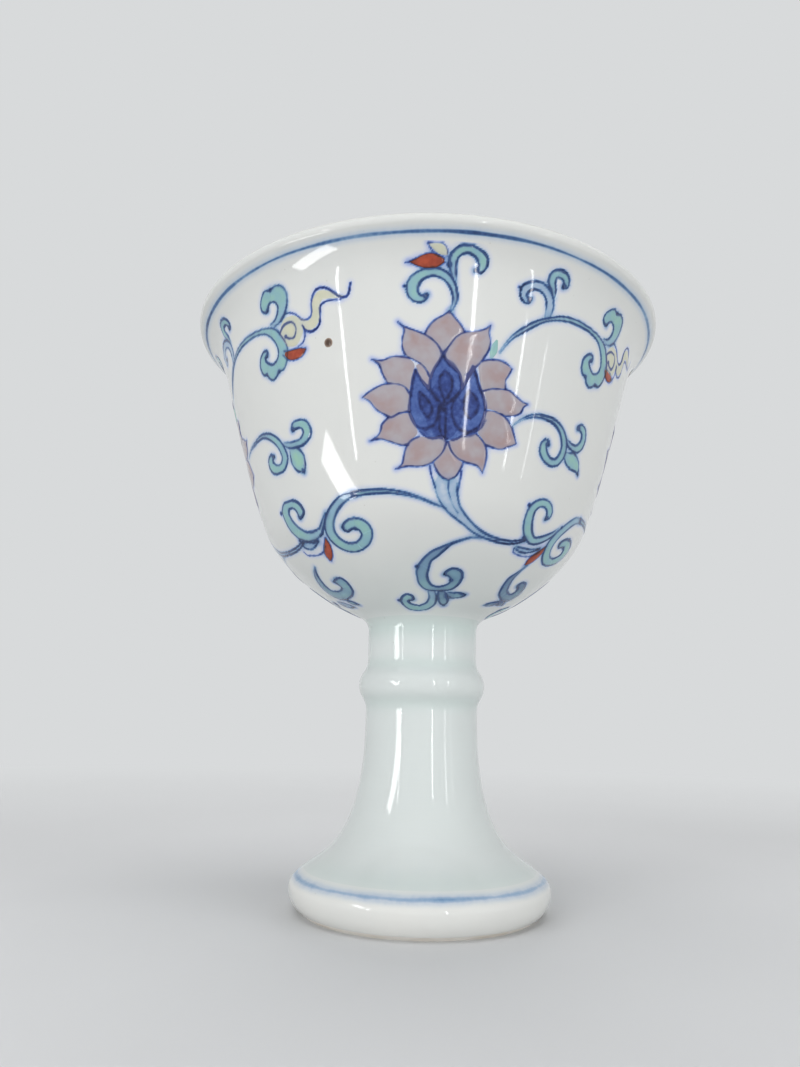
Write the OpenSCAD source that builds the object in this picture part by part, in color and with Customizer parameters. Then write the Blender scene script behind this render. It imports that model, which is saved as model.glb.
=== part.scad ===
// Porcelain stem cup: a flared bowl luted to a hollow stem with a raised ring and a spreading foot.
// The cup stands on Z = 0 with its axis on Z. Sizes are in millimetres.

/* [Bowl] */
// Height of the cup from the table to the lip
cup_h = 78; // [74:0.5:86]
// Diameter across the lip
rim_d = 66; // [60:0.5:74]
// Height of the part of the side that turns out to the lip
flare_h = 8; // [6:0.5:10]
// Diameter where the side starts to turn out to the lip
throat_d = 57.4; // [53:0.2:61]
// Diameter of the belly, where the side turns under
belly_d = 44.6; // [40:0.2:49]
// Height of the belly above the underside of the bowl
belly_rise = 11; // [9:0.2:13.4]
// Slope of the lip's edge above level, in degrees
lip_slope = 38; // [25:1:55]
// Finished thickness of the lip
lip_t = 1.5; // [1:0.1:2.2]
// Finished thickness of the side
side_t = 2.2; // [1.6:0.1:3]
// Finished thickness of the bowl over the boss
base_t = 3.2; // [2.4:0.1:4.5]

/* [Stem] */
// Height of the stem piece, to the joint with the bowl
stem_h = 34.8; // [33:0.2:38]
// Diameter of the stem below its ring
stem_d = 15; // [13.4:0.2:16.8]
// Diameter of the neck above the ring
neck_d = 14.8; // [13.6:0.2:16.8]
// Diameter of the raised ring
ring_d = 17; // [16:0.2:20]
// Height of the raised ring above the table
ring_z = 28; // [26:0.5:29.5]
// Height of the raised ring from fillet to fillet
ring_h = 6.6; // [4:0.2:6.8]
// Diameter of the hollow in the stem
hollow_d = 8.6; // [7:0.2:10.4]
// Solid thickness between the top of the hollow and the joint
hollow_cap = 3.2; // [2:0.2:5]

/* [Foot] */
// Diameter of the foot at its widest
foot_d = 33.4; // [30:0.2:38]
// Height of the widest part of the foot
foot_z = 3; // [2.2:0.1:3.6]
// Height at which the foot's edge has turned in to the sweep of the stem
foot_top_z = 5.2; // [4.8:0.1:6]
// How far the foot turns in from its widest to the sweep of the stem
foot_turn = 2; // [1.4:0.1:2.6]
// Width of the bare ring that the cup stands on
ring_face_w = 2.4; // [1.6:0.1:3.2]
// How far the bare ring is set in from the widest part of the foot
ring_face_in = 1.8; // [1.4:0.1:2.6]
// Height of the bare clay below the glaze
bare_h = 0.5; // [0.3:0.1:0.8]

/* [Joint] */
// Thickness of the slip between bowl and stem
slip_t = 0.4; // [0.2:0.1:0.8]
// Diameter of the boss under the bowl
boss_d = 12.6; // [10:0.2:13]
// Height of the fillet round the joint
fillet_h = 2.7; // [2.2:0.1:3.6]
// Reach of the fillet past the neck
fillet_w = 2.8; // [2:0.1:4]

/* [Glaze and painting] */
// Thickness of the glaze
glaze_t = 0.25; // [0.15:0.05:0.4]
// Thickness of the cobalt lines under the glaze
cobalt_t = 0.1; // [0.05:0.01:0.12]
// Thickness of the enamels on top of the glaze
enamel_t = 0.12; // [0.06:0.01:0.2]
// Height from the lip down to the upper edge of the rim line
rim_line_drop = 1.6; // [1:0.1:3]
// Height of the rim line
rim_line_h = 0.8; // [0.4:0.1:1.2]
// Height above the table of the lower edge of the foot line
foot_line_z = 4; // [3.8:0.1:4.2]
// Height of the foot line
foot_line_h = 0.7; // [0.3:0.1:0.9]
// Number of lotus blossoms round the bowl
blossoms = 4; // [3:1:5]
// Height of the blossoms' centres, as a share of the painted band
blossom_share = 0.573; // [0.55:0.005:0.585]
// Diameter of a blossom
blossom_d = 19; // [15:0.5:21]
// Number of petals on a blossom
petals = 12; // [8:1:16]
// Outer diameter of a leaf scroll
leaf_d = 5.4; // [4:0.2:6.4]
// Width of a leaf scroll at its widest
leaf_w = 1.9; // [1.2:0.1:2.4]
// Length of a bud
bud_l = 3.4; // [2.4:0.2:4.4]
// Outer diameter of a ribbon's curl
ribbon_d = 3.4; // [2.6:0.2:4.4]

/* [Hidden] */
$fn = 96;

// Straight pieces in each curve of the outline
steps = 8;
rim_r = rim_d / 2;
throat_r = throat_d / 2;
belly_r = belly_d / 2;
stem_r = stem_d / 2;
neck_r = neck_d / 2;
ring_r = ring_d / 2;
foot_r = foot_d / 2;
hollow_r = hollow_d / 2;
boss_r = boss_d / 2;
lip_r = lip_t / 2;
slip_top = stem_h + slip_t;
under_z = slip_top + fillet_h;
under_r = neck_r + fillet_w;
boss_root_z = under_z - 0.15 * fillet_h;
belly_z = under_z + belly_rise;
throat_z = cup_h - flare_h;
bowl_floor_z = under_z + base_t - glaze_t;
hollow_top = stem_h - hollow_cap;
face_out = foot_r - ring_face_in;
face_in = face_out - ring_face_w;
half_ring = ring_h / 2;

// A point on a cubic curve through its four control points
function cubic(c, t) =
    pow(1 - t, 3) * c[0] + 3 * t * pow(1 - t, 2) * c[1] + 3 * t * t * (1 - t) * c[2] + pow(t, 3) * c[3];

// The direction square to the curve, on the right of its travel
function square_to(c, t) =
    let (d = pow(1 - t, 2) * (c[1] - c[0]) + 2 * t * (1 - t) * (c[2] - c[1]) + t * t * (c[3] - c[2]))
    [d[1], -d[0]] / norm(d);

// A stretch of curve as pairs of point and outward direction; first = 1 leaves out the shared start
function stretch(c, t0 = 0, t1 = 1, first = 1) =
    [for (i = [first : steps]) let (t = t0 + (t1 - t0) * i / steps) [cubic(c, t), square_to(c, t)]];

// The share of a rising curve at which it reaches a height
function share_at(c, z, low = 0, high = 1, tries = 24) =
    tries == 0 ? low :
    let (mid = (low + high) / 2)
    cubic(c, mid)[1] < z ? share_at(c, z, mid, high, tries - 1) : share_at(c, z, low, mid, tries - 1);

// Points of a path, moved out along its directions
function moved(path, d) = [for (q = path) q[0] + d * q[1]];
function reversed(list) = [for (i = [len(list) - 1 : -1 : 0]) list[i]];
function last(list) = list[len(list) - 1];

// Outline of the outside, from the edge of the glaze on the foot up to the lip
foot_edge = [[face_out + ring_face_in * 0.4, bare_h],
             [foot_r - ring_face_in * 0.2, bare_h + 0.3 * (foot_z - bare_h)],
             [foot_r, foot_z - 0.4 * (foot_z - bare_h)],
             [foot_r, foot_z]];
sweep_slope = [-0.8, 0.6];
foot_turn_in = [[foot_r, foot_z],
                [foot_r, foot_z + 0.45 * (foot_top_z - foot_z)],
                [foot_r - foot_turn, foot_top_z] - 0.45 * foot_turn * sweep_slope,
                [foot_r - foot_turn, foot_top_z]];
ring_low = ring_z - half_ring;
ring_high = ring_z + half_ring;
sweep_end = ring_low - 0.08 * (ring_low - foot_top_z);
sweep = [[foot_r - foot_turn, foot_top_z],
         [foot_r - foot_turn, foot_top_z] + 0.16 * (sweep_end - foot_top_z) * sweep_slope,
         [stem_r, foot_top_z + 0.17 * (sweep_end - foot_top_z)],
         [stem_r, sweep_end]];
ring_lower = [[stem_r, ring_low],
              [stem_r, ring_z - 0.5 * half_ring],
              [ring_r, ring_z - 0.5 * half_ring],
              [ring_r, ring_z]];
ring_upper = [[ring_r, ring_z],
              [ring_r, ring_z + 0.5 * half_ring],
              [neck_r, ring_z + 0.5 * half_ring],
              [neck_r, ring_high]];
under_slope = [0.92, 0.39];
fillet_side = [[neck_r, slip_top],
               [neck_r, slip_top + 0.6 * fillet_h],
               [under_r, under_z] - 0.55 * fillet_w * under_slope,
               [under_r, under_z]];
belly_slope = [0.36, 0.93];
underside = [[under_r, under_z],
             [under_r, under_z] + 0.45 * (belly_r - under_r) * under_slope,
             [belly_r, belly_z] - 0.42 * belly_rise * belly_slope,
             [belly_r, belly_z]];
throat_slope = [0.27, 0.96];
side_h = throat_z - belly_z;
side = [[belly_r, belly_z],
        [belly_r, belly_z] + 0.33 * side_h * belly_slope,
        [throat_r, throat_z] - 0.33 * side_h * throat_slope,
        [throat_r, throat_z]];
lip_centre = [rim_r - lip_r, cup_h - lip_r];
lip_way = [cos(lip_slope), sin(lip_slope)];
lip_down = [sin(lip_slope), -cos(lip_slope)];
flare = [[throat_r, throat_z],
         [throat_r, throat_z] + 0.36 * flare_h * throat_slope,
         lip_centre + lip_r * lip_down - 0.4 * flare_h * lip_way,
         lip_centre + lip_r * lip_down];

// The two cobalt lines, as shares of the curves that carry them
rim_line_low = share_at(flare, cup_h - rim_line_drop - rim_line_h);
rim_line_high = share_at(flare, cup_h - rim_line_drop);
foot_line_low = share_at(foot_turn_in, foot_line_z);
foot_line_high = share_at(foot_turn_in, foot_line_z + foot_line_h);

// Half of the lip's round edge, outside then inside
function lip_arc(from, to) =
    [for (i = [1 : steps]) let (a = from + (to - from) * i / steps)
        [lip_centre + lip_r * [cos(a), sin(a)], [cos(a), sin(a)]]];
lip_outside = lip_arc(lip_slope - 90, lip_slope);
lip_inside = lip_arc(lip_slope, lip_slope + 90);

foot_line_path = stretch(foot_turn_in, foot_line_low, foot_line_high, 0);
rim_line_path = stretch(flare, rim_line_low, rim_line_high, 0);
foot_path = concat(stretch(foot_edge, first = 0), stretch(foot_turn_in, 0, foot_line_low));
stem_path = concat(stretch(foot_turn_in, foot_line_high, 1, 0), stretch(sweep),
                   stretch(ring_lower, first = 0), stretch(ring_upper), [[[neck_r, stem_h], [1, 0]]]);
fillet_path = stretch(fillet_side, first = 0);
bowl_path = concat(stretch(underside), stretch(side), stretch(flare, 0, rim_line_low));
lip_path = concat(stretch(flare, rim_line_high, 1, 0), lip_outside);

// Outline of the inside of the bowl, from the lip down to the middle of its floor
lip_up = lip_centre - lip_r * lip_down;
throat_in = [throat_r, throat_z] + side_t * [-throat_slope[1], throat_slope[0]];
belly_in = [belly_r, belly_z] + side_t * [-belly_slope[1], belly_slope[0]];
flare_in = [lip_up, lip_up - 0.4 * flare_h * lip_way, throat_in + 0.36 * flare_h * throat_slope, throat_in];
side_in = [throat_in, throat_in - 0.33 * side_h * throat_slope,
           belly_in + 0.33 * side_h * belly_slope, belly_in];
floor_in = [belly_in, belly_in - 0.42 * belly_rise * belly_slope,
            [0.55 * belly_in[0], bowl_floor_z], [0, bowl_floor_z]];
inner_path = concat([[lip_centre + lip_r * lip_way, lip_way]], lip_inside, stretch(flare_in),
                    stretch(side_in), stretch(floor_in));

// Outline of the hollow in the stem, from the middle of its top down to the edge of its glaze
hollow_dome = [for (i = [0 : steps]) let (a = 90 - 90 * i / steps)
    [[hollow_r * cos(a), hollow_top - hollow_r + hollow_r * sin(a)], -[cos(a), sin(a)]]];
hollow_sweep_z = foot_top_z + 0.4 * (sweep_end - foot_top_z);
hollow_sweep = [[hollow_r, hollow_sweep_z],
                [hollow_r, hollow_sweep_z - 0.6 * (hollow_sweep_z - bare_h)],
                [face_in - 0.5 * (face_in - hollow_r), bare_h + 0.32 * (hollow_sweep_z - bare_h)],
                [face_in, bare_h]];
hollow_path = concat(hollow_dome, stretch(hollow_sweep, first = 0));

// The painted band runs from the underside of the bowl up to the rim line
paint_h = cup_h - rim_line_drop - rim_line_h - under_z;
blossom_z = under_z + blossom_share * paint_h;
turn = 360 / blossoms;

// Painted layout: degrees from a blossom, height from its centre as a share of the painted band,
// then size and lean or lean alone
leaf_spots = [[-6, 0.305, 0.8, 150], [4, 0.36, 0.7, 20], [18, 0.325, 0.7, 200],
              [25, 0.36, 0.6, 20], [46.5, 0.345, 0.7, 200], [43, 0.17, 0.8, 20],
              [34.5, -0.105, 0.9, 60], [46.5, -0.055, 0.8, 120], [59, -0.37, 1, 90],
              [38, -0.32, 1, 240], [2, -0.5, 0.8, 90], [48, -0.5, 0.7, 60]];
bud_spots = [[-7, 0.4, 15], [52, 0.17, 200], [45.5, -0.42, 100]];
ribbon_spots = [[54, 0.265, 40]];

module revolve(points) {
    rotate_extrude() polygon(points);
}

// A coat between two depths below the outline
module coat(path, inner, outer) {
    revolve(concat(moved(path, outer), reversed(moved(path, inner))));
}

// A shape drawn flat and laid on the bowl's side as enamel, at an angle and a share of the band's height
module enamel(angle, share) {
    intersection() {
        coat(bowl_path, 0, enamel_t);
        rotate(angle)
            translate([0, 0, blossom_z + share * paint_h])
                rotate([90, 0, 90])
                    linear_extrude(height = rim_r)
                        children();
    }
}

// A flat blossom of pointed petals
module blossom_shape() {
    tip = blossom_d / 2;
    shoulder = 0.84 * tip;
    notch = 0.72 * tip;
    step = 360 / petals;
    polygon([for (i = [0 : petals - 1], k = [0 : 3])
        let (a = step * (i + k / 4), r = [tip, shoulder, notch, shoulder][k]) r * [sin(a), cos(a)]]);
}

// A flat curl like a comma, pointed at its start and widest at its end
module curl_shape(d, w, lean) {
    turns = 270;
    count = 8;
    outside = [for (i = [0 : count]) let (a = turns * i / count) d / 2 * [cos(a), sin(a)]];
    inside = [for (i = [count : -1 : 1]) let (a = turns * i / count)
        (d / 2 - w * i / count) * [cos(a), sin(a)]];
    rotate(lean)
        polygon(concat(outside, inside));
}

module bud_shape(lean) {
    rotate(lean)
        polygon([[-bud_l / 2, 0], [-bud_l / 6, bud_l / 4], [bud_l / 2, 0], [-bud_l / 6, -bud_l / 4]]);
}

module bowl_body() {
    color("gainsboro")
        revolve(concat([[0, slip_top], [boss_r, slip_top], [boss_r, boss_root_z]],
                       [last(moved(fillet_path, -glaze_t))],
                       moved(bowl_path, -glaze_t),
                       moved(rim_line_path, -glaze_t),
                       moved(lip_path, -glaze_t),
                       moved(inner_path, -glaze_t)));
}

module stem_body() {
    color("gainsboro")
        revolve(concat(moved(hollow_path, -glaze_t),
                       [[face_in, 0], [face_out, 0]],
                       moved(foot_path, -glaze_t),
                       moved(foot_line_path, -glaze_t),
                       moved(stem_path, -glaze_t),
                       [[0, stem_h]]));
}

module luting_slip() {
    color("whitesmoke")
        translate([0, 0, stem_h])
            cylinder(r = neck_r - glaze_t, h = slip_t);
}

module joint_fillet() {
    color("whitesmoke")
        revolve(concat([[boss_r, slip_top]],
                       moved(fillet_path, -glaze_t),
                       [[boss_r, boss_root_z]]));
}

module bowl_inner_glaze() {
    color("azure")
        coat(inner_path, -glaze_t, 0);
}

module outer_glaze() {
    bed = cobalt_t - glaze_t;
    whole = concat(foot_path, foot_line_path, stem_path, fillet_path, bowl_path, rim_line_path, lip_path);
    color("azure")
        revolve(concat(moved(whole, 0),
                       reversed(concat(moved(foot_path, -glaze_t),
                                       moved(foot_line_path, bed),
                                       moved(concat(stem_path, fillet_path, bowl_path), -glaze_t),
                                       moved(rim_line_path, bed),
                                       moved(lip_path, -glaze_t)))));
}

module stem_inner_glaze() {
    color("azure")
        coat(hollow_path, -glaze_t, 0);
}

module rim_blue_line() {
    color("royalblue")
        coat(rim_line_path, -glaze_t, cobalt_t - glaze_t);
}

module foot_blue_line() {
    color("cornflowerblue")
        coat(foot_line_path, -glaze_t, cobalt_t - glaze_t);
}

module blossom_enamel() {
    color("rosybrown")
        for (i = [0 : blossoms - 1])
            enamel(i * turn - 90, 0)
                blossom_shape();
}

module leaf_enamel() {
    color("cadetblue")
        for (i = [0 : blossoms - 1], s = leaf_spots)
            enamel(i * turn - 90 + s[0], s[1])
                curl_shape(leaf_d * s[2], leaf_w * s[2], s[3]);
}

module bud_enamel() {
    color("firebrick")
        for (i = [0 : blossoms - 1], s = bud_spots)
            enamel(i * turn - 90 + s[0], s[1])
                bud_shape(s[2]);
}

module ribbon_enamel() {
    color("khaki")
        for (i = [0 : blossoms - 1], s = ribbon_spots)
            enamel(i * turn - 90 + s[0], s[1])
                curl_shape(ribbon_d, ribbon_d / 3, s[2]);
}

bowl_body();
stem_body();
luting_slip();
joint_fillet();
bowl_inner_glaze();
outer_glaze();
stem_inner_glaze();
rim_blue_line();
foot_blue_line();
blossom_enamel();
leaf_enamel();
bud_enamel();
ribbon_enamel();
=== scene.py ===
import math

import bpy
import numpy as np
from mathutils import Matrix, Vector


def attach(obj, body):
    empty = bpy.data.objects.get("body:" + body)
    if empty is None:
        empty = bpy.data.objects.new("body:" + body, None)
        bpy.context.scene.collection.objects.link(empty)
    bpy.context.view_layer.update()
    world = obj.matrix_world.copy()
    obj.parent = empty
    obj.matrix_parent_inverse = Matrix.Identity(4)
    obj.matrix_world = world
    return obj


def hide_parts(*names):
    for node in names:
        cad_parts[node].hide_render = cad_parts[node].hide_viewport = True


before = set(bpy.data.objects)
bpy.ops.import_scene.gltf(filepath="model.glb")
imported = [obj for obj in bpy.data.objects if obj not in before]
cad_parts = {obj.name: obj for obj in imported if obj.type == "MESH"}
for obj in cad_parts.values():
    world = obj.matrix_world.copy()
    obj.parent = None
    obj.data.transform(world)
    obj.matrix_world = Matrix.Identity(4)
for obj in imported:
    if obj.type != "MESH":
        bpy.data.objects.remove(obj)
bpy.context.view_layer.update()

mm = 0.001
print("frame loaded:", sorted(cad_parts))

# Sizes of the cup in millimetres, as in the part
cup = dict(height=78.0, lipR=33.0, flareH=8.0, throatR=28.7, bellyR=22.3, bellyRise=11.0,
           lipSlope=38.0, lipT=1.5, sideT=2.2, baseT=3.2, stemH=34.8, stemR=7.5, neckR=7.4,
           ringR=8.5, ringZ=28.0, ringHalf=3.3, hollowR=4.3, hollowCap=3.2, footR=16.7,
           footZ=3.0, footTopZ=5.2, footTurn=2.0, faceW=2.4, faceIn=1.8, bareH=0.5,
           slipT=0.4, filletH=2.7, filletW=2.8, glazeT=0.25)


def cubicCurve(control, count=40):
    # Weighted mean of four control points, with weights (1-t)^3, 3t(1-t)^2, 3t^2(1-t) and t^3
    c, t = np.array(control, float), np.linspace(0, 1, count)[:, None]
    return (1 - t) ** 3 * c[0] + 3 * t * (1 - t) ** 2 * c[1] + 3 * t * t * (1 - t) * c[2] + t ** 3 * c[3]


def joined(*curves):  # curves one after another, with repeated points left out
    p = np.concatenate(curves)
    return p[np.r_[True, np.hypot(*np.diff(p, axis=0).T) > 1e-6]]


def evenly(path, step):  # the same path with points at an even spacing
    s = lengthAlong(path)
    x = np.linspace(0, s[-1], int(s[-1] / step))
    return np.stack([np.interp(x, s, path[:, 0]), np.interp(x, s, path[:, 1])], 1)


def lengthAlong(path):  # running length from the first point
    return np.r_[0, np.cumsum(np.hypot(*np.diff(path, axis=0).T))]


def squareTo(path):  # unit direction on the right of a path's travel
    d = np.gradient(path, axis=0)
    return np.stack([d[:, 1], -d[:, 0]], 1) / np.hypot(*d.T)[:, None]


def cupOutline(c):
    # Half sections of cubic curves end to end: the outside from the glaze's edge on the foot to the crest of
    # the lip, the length along it where the bowl starts, the inside of the bowl and the hollow of the stem.
    # Shares such as 0.4 say how far a curve's handles reach.
    v = np.array
    faceOut = c["footR"] - c["faceIn"]
    faceInner = faceOut - c["faceW"]
    bare, footZ, topZ = c["bareH"], c["footZ"], c["footTopZ"]
    edge = cubicCurve([[faceOut + 0.4 * c["faceIn"], bare],
                       [c["footR"] - 0.2 * c["faceIn"], bare + 0.3 * (footZ - bare)],
                       [c["footR"], footZ - 0.4 * (footZ - bare)], [c["footR"], footZ]])
    sweepWay, turnEnd = v([-0.8, 0.6]), v([c["footR"] - c["footTurn"], topZ])
    turn = cubicCurve([[c["footR"], footZ], [c["footR"], footZ + 0.45 * (topZ - footZ)],
                       turnEnd - 0.45 * c["footTurn"] * sweepWay, turnEnd])
    ringLow, ringHigh, half = c["ringZ"] - c["ringHalf"], c["ringZ"] + c["ringHalf"], c["ringHalf"]
    sweepEnd = ringLow - 0.08 * (ringLow - topZ)
    sweep = cubicCurve([turnEnd, turnEnd + 0.16 * (sweepEnd - topZ) * sweepWay,
                        [c["stemR"], topZ + 0.17 * (sweepEnd - topZ)], [c["stemR"], sweepEnd]])
    low = cubicCurve([[c["stemR"], ringLow], [c["stemR"], c["ringZ"] - 0.5 * half],
                      [c["ringR"], c["ringZ"] - 0.5 * half], [c["ringR"], c["ringZ"]]])
    high = cubicCurve([[c["ringR"], c["ringZ"]], [c["ringR"], c["ringZ"] + 0.5 * half],
                       [c["neckR"], c["ringZ"] + 0.5 * half], [c["neckR"], ringHigh]])
    slipTop = c["stemH"] + c["slipT"]
    under, underWay = v([c["neckR"] + c["filletW"], slipTop + c["filletH"]]), v([0.92, 0.39])
    fillet = cubicCurve([[c["neckR"], slipTop], [c["neckR"], slipTop + 0.6 * c["filletH"]],
                         under - 0.55 * c["filletW"] * underWay, under])
    belly, bellyWay = v([c["bellyR"], under[1] + c["bellyRise"]]), v([0.36, 0.93])
    underside = cubicCurve([under, under + 0.45 * (belly[0] - under[0]) * underWay,
                            belly - 0.42 * c["bellyRise"] * bellyWay, belly])
    throat, throatWay = v([c["throatR"], c["height"] - c["flareH"]]), v([0.27, 0.96])
    sideH = throat[1] - belly[1]
    side = cubicCurve([belly, belly + 0.33 * sideH * bellyWay, throat - 0.33 * sideH * throatWay, throat])
    slope, lipR = math.radians(c["lipSlope"]), c["lipT"] / 2
    centre = v([c["lipR"] - lipR, c["height"] - lipR])
    way, down = v([math.cos(slope), math.sin(slope)]), v([math.sin(slope), -math.cos(slope)])
    flare = cubicCurve([throat, throat + 0.36 * c["flareH"] * throatWay,
                        centre + lipR * down - 0.4 * c["flareH"] * way, centre + lipR * down])
    a = np.linspace(slope - math.pi / 2, slope, 16)
    lipOut = centre + lipR * np.stack([np.cos(a), np.sin(a)], 1)
    lipIn = centre + lipR * np.stack([np.cos(a + math.pi / 2), np.sin(a + math.pi / 2)], 1)
    up = centre - lipR * down
    throatIn = throat + c["sideT"] * v([-throatWay[1], throatWay[0]])
    bellyIn = belly + c["sideT"] * v([-bellyWay[1], bellyWay[0]])
    floorZ = under[1] + c["baseT"] - c["glazeT"]
    inside = joined(lipIn,
                    cubicCurve([up, up - 0.4 * c["flareH"] * way,
                                throatIn + 0.36 * c["flareH"] * throatWay, throatIn]),
                    cubicCurve([throatIn, throatIn - 0.33 * sideH * throatWay,
                                bellyIn + 0.33 * sideH * bellyWay, bellyIn]),
                    cubicCurve([bellyIn, bellyIn - 0.42 * c["bellyRise"] * bellyWay,
                                [0.55 * bellyIn[0], floorZ], [0, floorZ]]))
    top, hr = c["stemH"] - c["hollowCap"], c["hollowR"]
    b = np.linspace(math.pi / 2, 0, 16)
    sweepZ = topZ + 0.4 * (sweepEnd - topZ)
    hollow = joined(np.stack([hr * np.cos(b), top - hr + hr * np.sin(b)], 1),
                    cubicCurve([[hr, sweepZ], [hr, sweepZ - 0.6 * (sweepZ - bare)],
                                [faceInner - 0.5 * (faceInner - hr), bare + 0.32 * (sweepZ - bare)],
                                [faceInner, bare]]))
    outside = evenly(joined(edge, turn, sweep, low, high, fillet, underside, side, flare, lipOut), 0.1)
    start = lengthAlong(joined(edge, turn, sweep, low, high, fillet))[-1]
    return outside, start, inside, hollow


outsidePath, undersideStart, insidePath, hollowPath = cupOutline(cup)
outsideWay = squareTo(outsidePath)
climb = lengthAlong(outsidePath) - undersideStart   # millimetres up the outside, 0 where the bowl starts
crest = climb[-1]


def onOutside(up, lift=0.0):  # radius and height at a length up the outside, moved out square to it
    r, z = np.interp(up, climb, outsidePath[:, 0]), np.interp(up, climb, outsidePath[:, 1])
    wr, wz = np.interp(up, climb, outsideWay[:, 0]), np.interp(up, climb, outsideWay[:, 1])
    return r + lift * wr, z + lift * wz


def stretchOf(up):  # path of the outside and its outward directions at these lengths
    way = np.stack([np.interp(up, climb, outsideWay[:, k]) for k in (0, 1)], 1)
    return np.stack(onOutside(up), 1), way / np.hypot(*way.T)[:, None]


def degreeWidth(up):  # millimetres to one degree round the cup at that length
    return np.interp(up, climb, outsidePath[:, 0]) * math.pi / 180


def aroundCup(turn, r, z):  # points at a turn in degrees from the front blossom, which faces -Y
    a = np.radians(np.asarray(turn) - 90)
    return np.stack([r * np.cos(a), r * np.sin(a), z + 0 * a], -1)


def newMesh(name, points, faces, uv, material, normals=None, values=None):
    # Points in millimetres, faces in groups of equal length, values as attributes with one number a point
    corners = np.concatenate([np.asarray(f).ravel() for f in faces])
    totals = np.concatenate([np.full(len(f), np.asarray(f).shape[1]) for f in faces])
    mesh = bpy.data.meshes.new(name)
    mesh.vertices.add(len(points))
    mesh.vertices.foreach_set("co", (np.asarray(points) * mm).astype(np.float32).ravel())
    mesh.loops.add(len(corners))
    mesh.loops.foreach_set("vertex_index", corners.astype(np.int32))
    mesh.polygons.add(len(totals))
    mesh.polygons.foreach_set("loop_start", np.r_[0, np.cumsum(totals)[:-1]].astype(np.int32))
    mesh.polygons.foreach_set("use_smooth", np.ones(len(totals), bool))
    mesh.update(calc_edges=True)
    mesh.uv_layers.new(name="UVMap").data.foreach_set("uv", np.asarray(uv, np.float32)[corners].ravel())
    for key, value in (values or {}).items():
        mesh.attributes.new(key, "FLOAT", "POINT").data.foreach_set("value", np.asarray(value, np.float32))
    if normals is not None:
        mesh.normals_split_custom_set_from_vertices(np.asarray(normals, np.float32))
    mesh.materials.append(material)
    piece = bpy.data.objects.new(name, mesh)
    bpy.context.scene.collection.objects.link(piece)
    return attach(piece, "root")


def sheetFaces(columns, rows, wrapColumns=False, wrapRows=False):  # quads of a grid held column by column
    i = np.arange(columns if wrapColumns else columns - 1)[:, None]
    j = np.arange(rows if wrapRows else rows - 1)[None, :]
    i2, j2 = (i + 1) % columns, (j + 1) % rows
    return np.stack([i * rows + j, i2 * rows + j, i2 * rows + j2, i * rows + j2], -1).reshape(-1, 4)


def turnedCoat(name, path, ways, depth, turns, material, values=None):
    # A coat: the path is the outside, the same path moved in by depth is the back, and the closed
    # loop of both is carried round the axis. A part turn is closed at both ends by the loop itself.
    back = np.linspace(len(path) - 1, 0, min(len(path), 24)).astype(int)
    loop = np.r_[path, path[back] - depth * ways[back]]
    way = np.r_[ways, -ways[back]]
    whole = abs(turns[-1] - turns[0]) > 359.99
    around = turns[:-1] if whole else turns
    grid = aroundCup(around[:, None], loop[None, :, 0], loop[None, :, 1])
    lean = aroundCup(around[:, None], way[None, :, 0], way[None, :, 1])
    columns, rows = grid.shape[:2]
    quads = sheetFaces(columns, rows, whole, True)
    ends = [] if whole else [np.arange(rows)[None, ::-1], (columns - 1) * rows + np.arange(rows)[None, :]]
    u = np.linspace(0.01, 0.99, columns)[:, None] + 0 * loop[None, :, 0]
    v = np.r_[np.linspace(0, 0.97, len(path)), np.linspace(1, 0.975, len(back))]
    v = 0.01 + 0.98 * v[None, :] + 0 * u
    full = {}
    for key, value in (values or {}).items():
        full[key] = np.concatenate([value, np.zeros((columns, len(back)))], 1).ravel()
    return newMesh(name, grid.reshape(-1, 3), [quads] + ends, np.stack([u, v], -1).reshape(-1, 2),
                   material, lean.reshape(-1, 3), full)


def turnedBowl(name, path, ways, depth, columns, material, flipped=False):
    # A coat that closes on the axis: rings of the path and of the same path moved in by depth,
    # with a fan of triangles at each of the two points on the axis.
    front, rear = path[:-1], (path - depth * ways)[:-1][::-1]
    loop, way = np.r_[front, rear], np.r_[ways[:-1], -ways[:-1][::-1]]
    turns = np.arange(columns) * 360 / columns
    rings = len(loop)
    cut = len(front)
    grid = aroundCup(turns[:, None], loop[None, :, 0], loop[None, :, 1]).reshape(-1, 3)
    lean = aroundCup(turns[:, None], way[None, :, 0], way[None, :, 1]).reshape(-1, 3)
    quads = sheetFaces(columns, rings, True, True).reshape(columns, rings, 4)
    quads = quads[:, np.arange(rings) != cut - 1].reshape(-1, 4)
    i, i2 = np.arange(columns), (np.arange(columns) + 1) % columns
    poleA, poleB = len(grid), len(grid) + 1
    fanA = np.stack([i * rings + cut - 1, i2 * rings + cut - 1, np.full(columns, poleA)], 1)
    fanB = np.stack([i2 * rings + cut, i * rings + cut, np.full(columns, poleB)], 1)
    tops = np.array([[0, 0, path[-1, 1]], [0, 0, path[-1, 1] - depth * ways[-1, 1]]])
    leans = np.array([[0, 0, ways[-1, 1]], [0, 0, -ways[-1, 1]]])
    u = np.repeat(np.linspace(0.01, 0.99, columns), rings)
    v = np.tile(np.linspace(0.01, 0.99, rings), columns)
    uv = np.r_[np.stack([u, v], 1), [[0.5, 0.5], [0.5, 0.5]]]
    faces = [f[:, ::-1] if flipped else f for f in (quads, fanA, fanB)]
    return newMesh(name, np.r_[grid, tops], faces, uv, material, np.r_[lean, leans])


# Materials
def linear(code):  # sRGB hex to linear colour
    c = np.array([int(code[i:i + 2], 16) for i in (1, 3, 5)]) / 255
    return (*np.where(c <= 0.04045, c / 12.92, ((c + 0.055) / 1.055) ** 2.4), 1.0)


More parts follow.
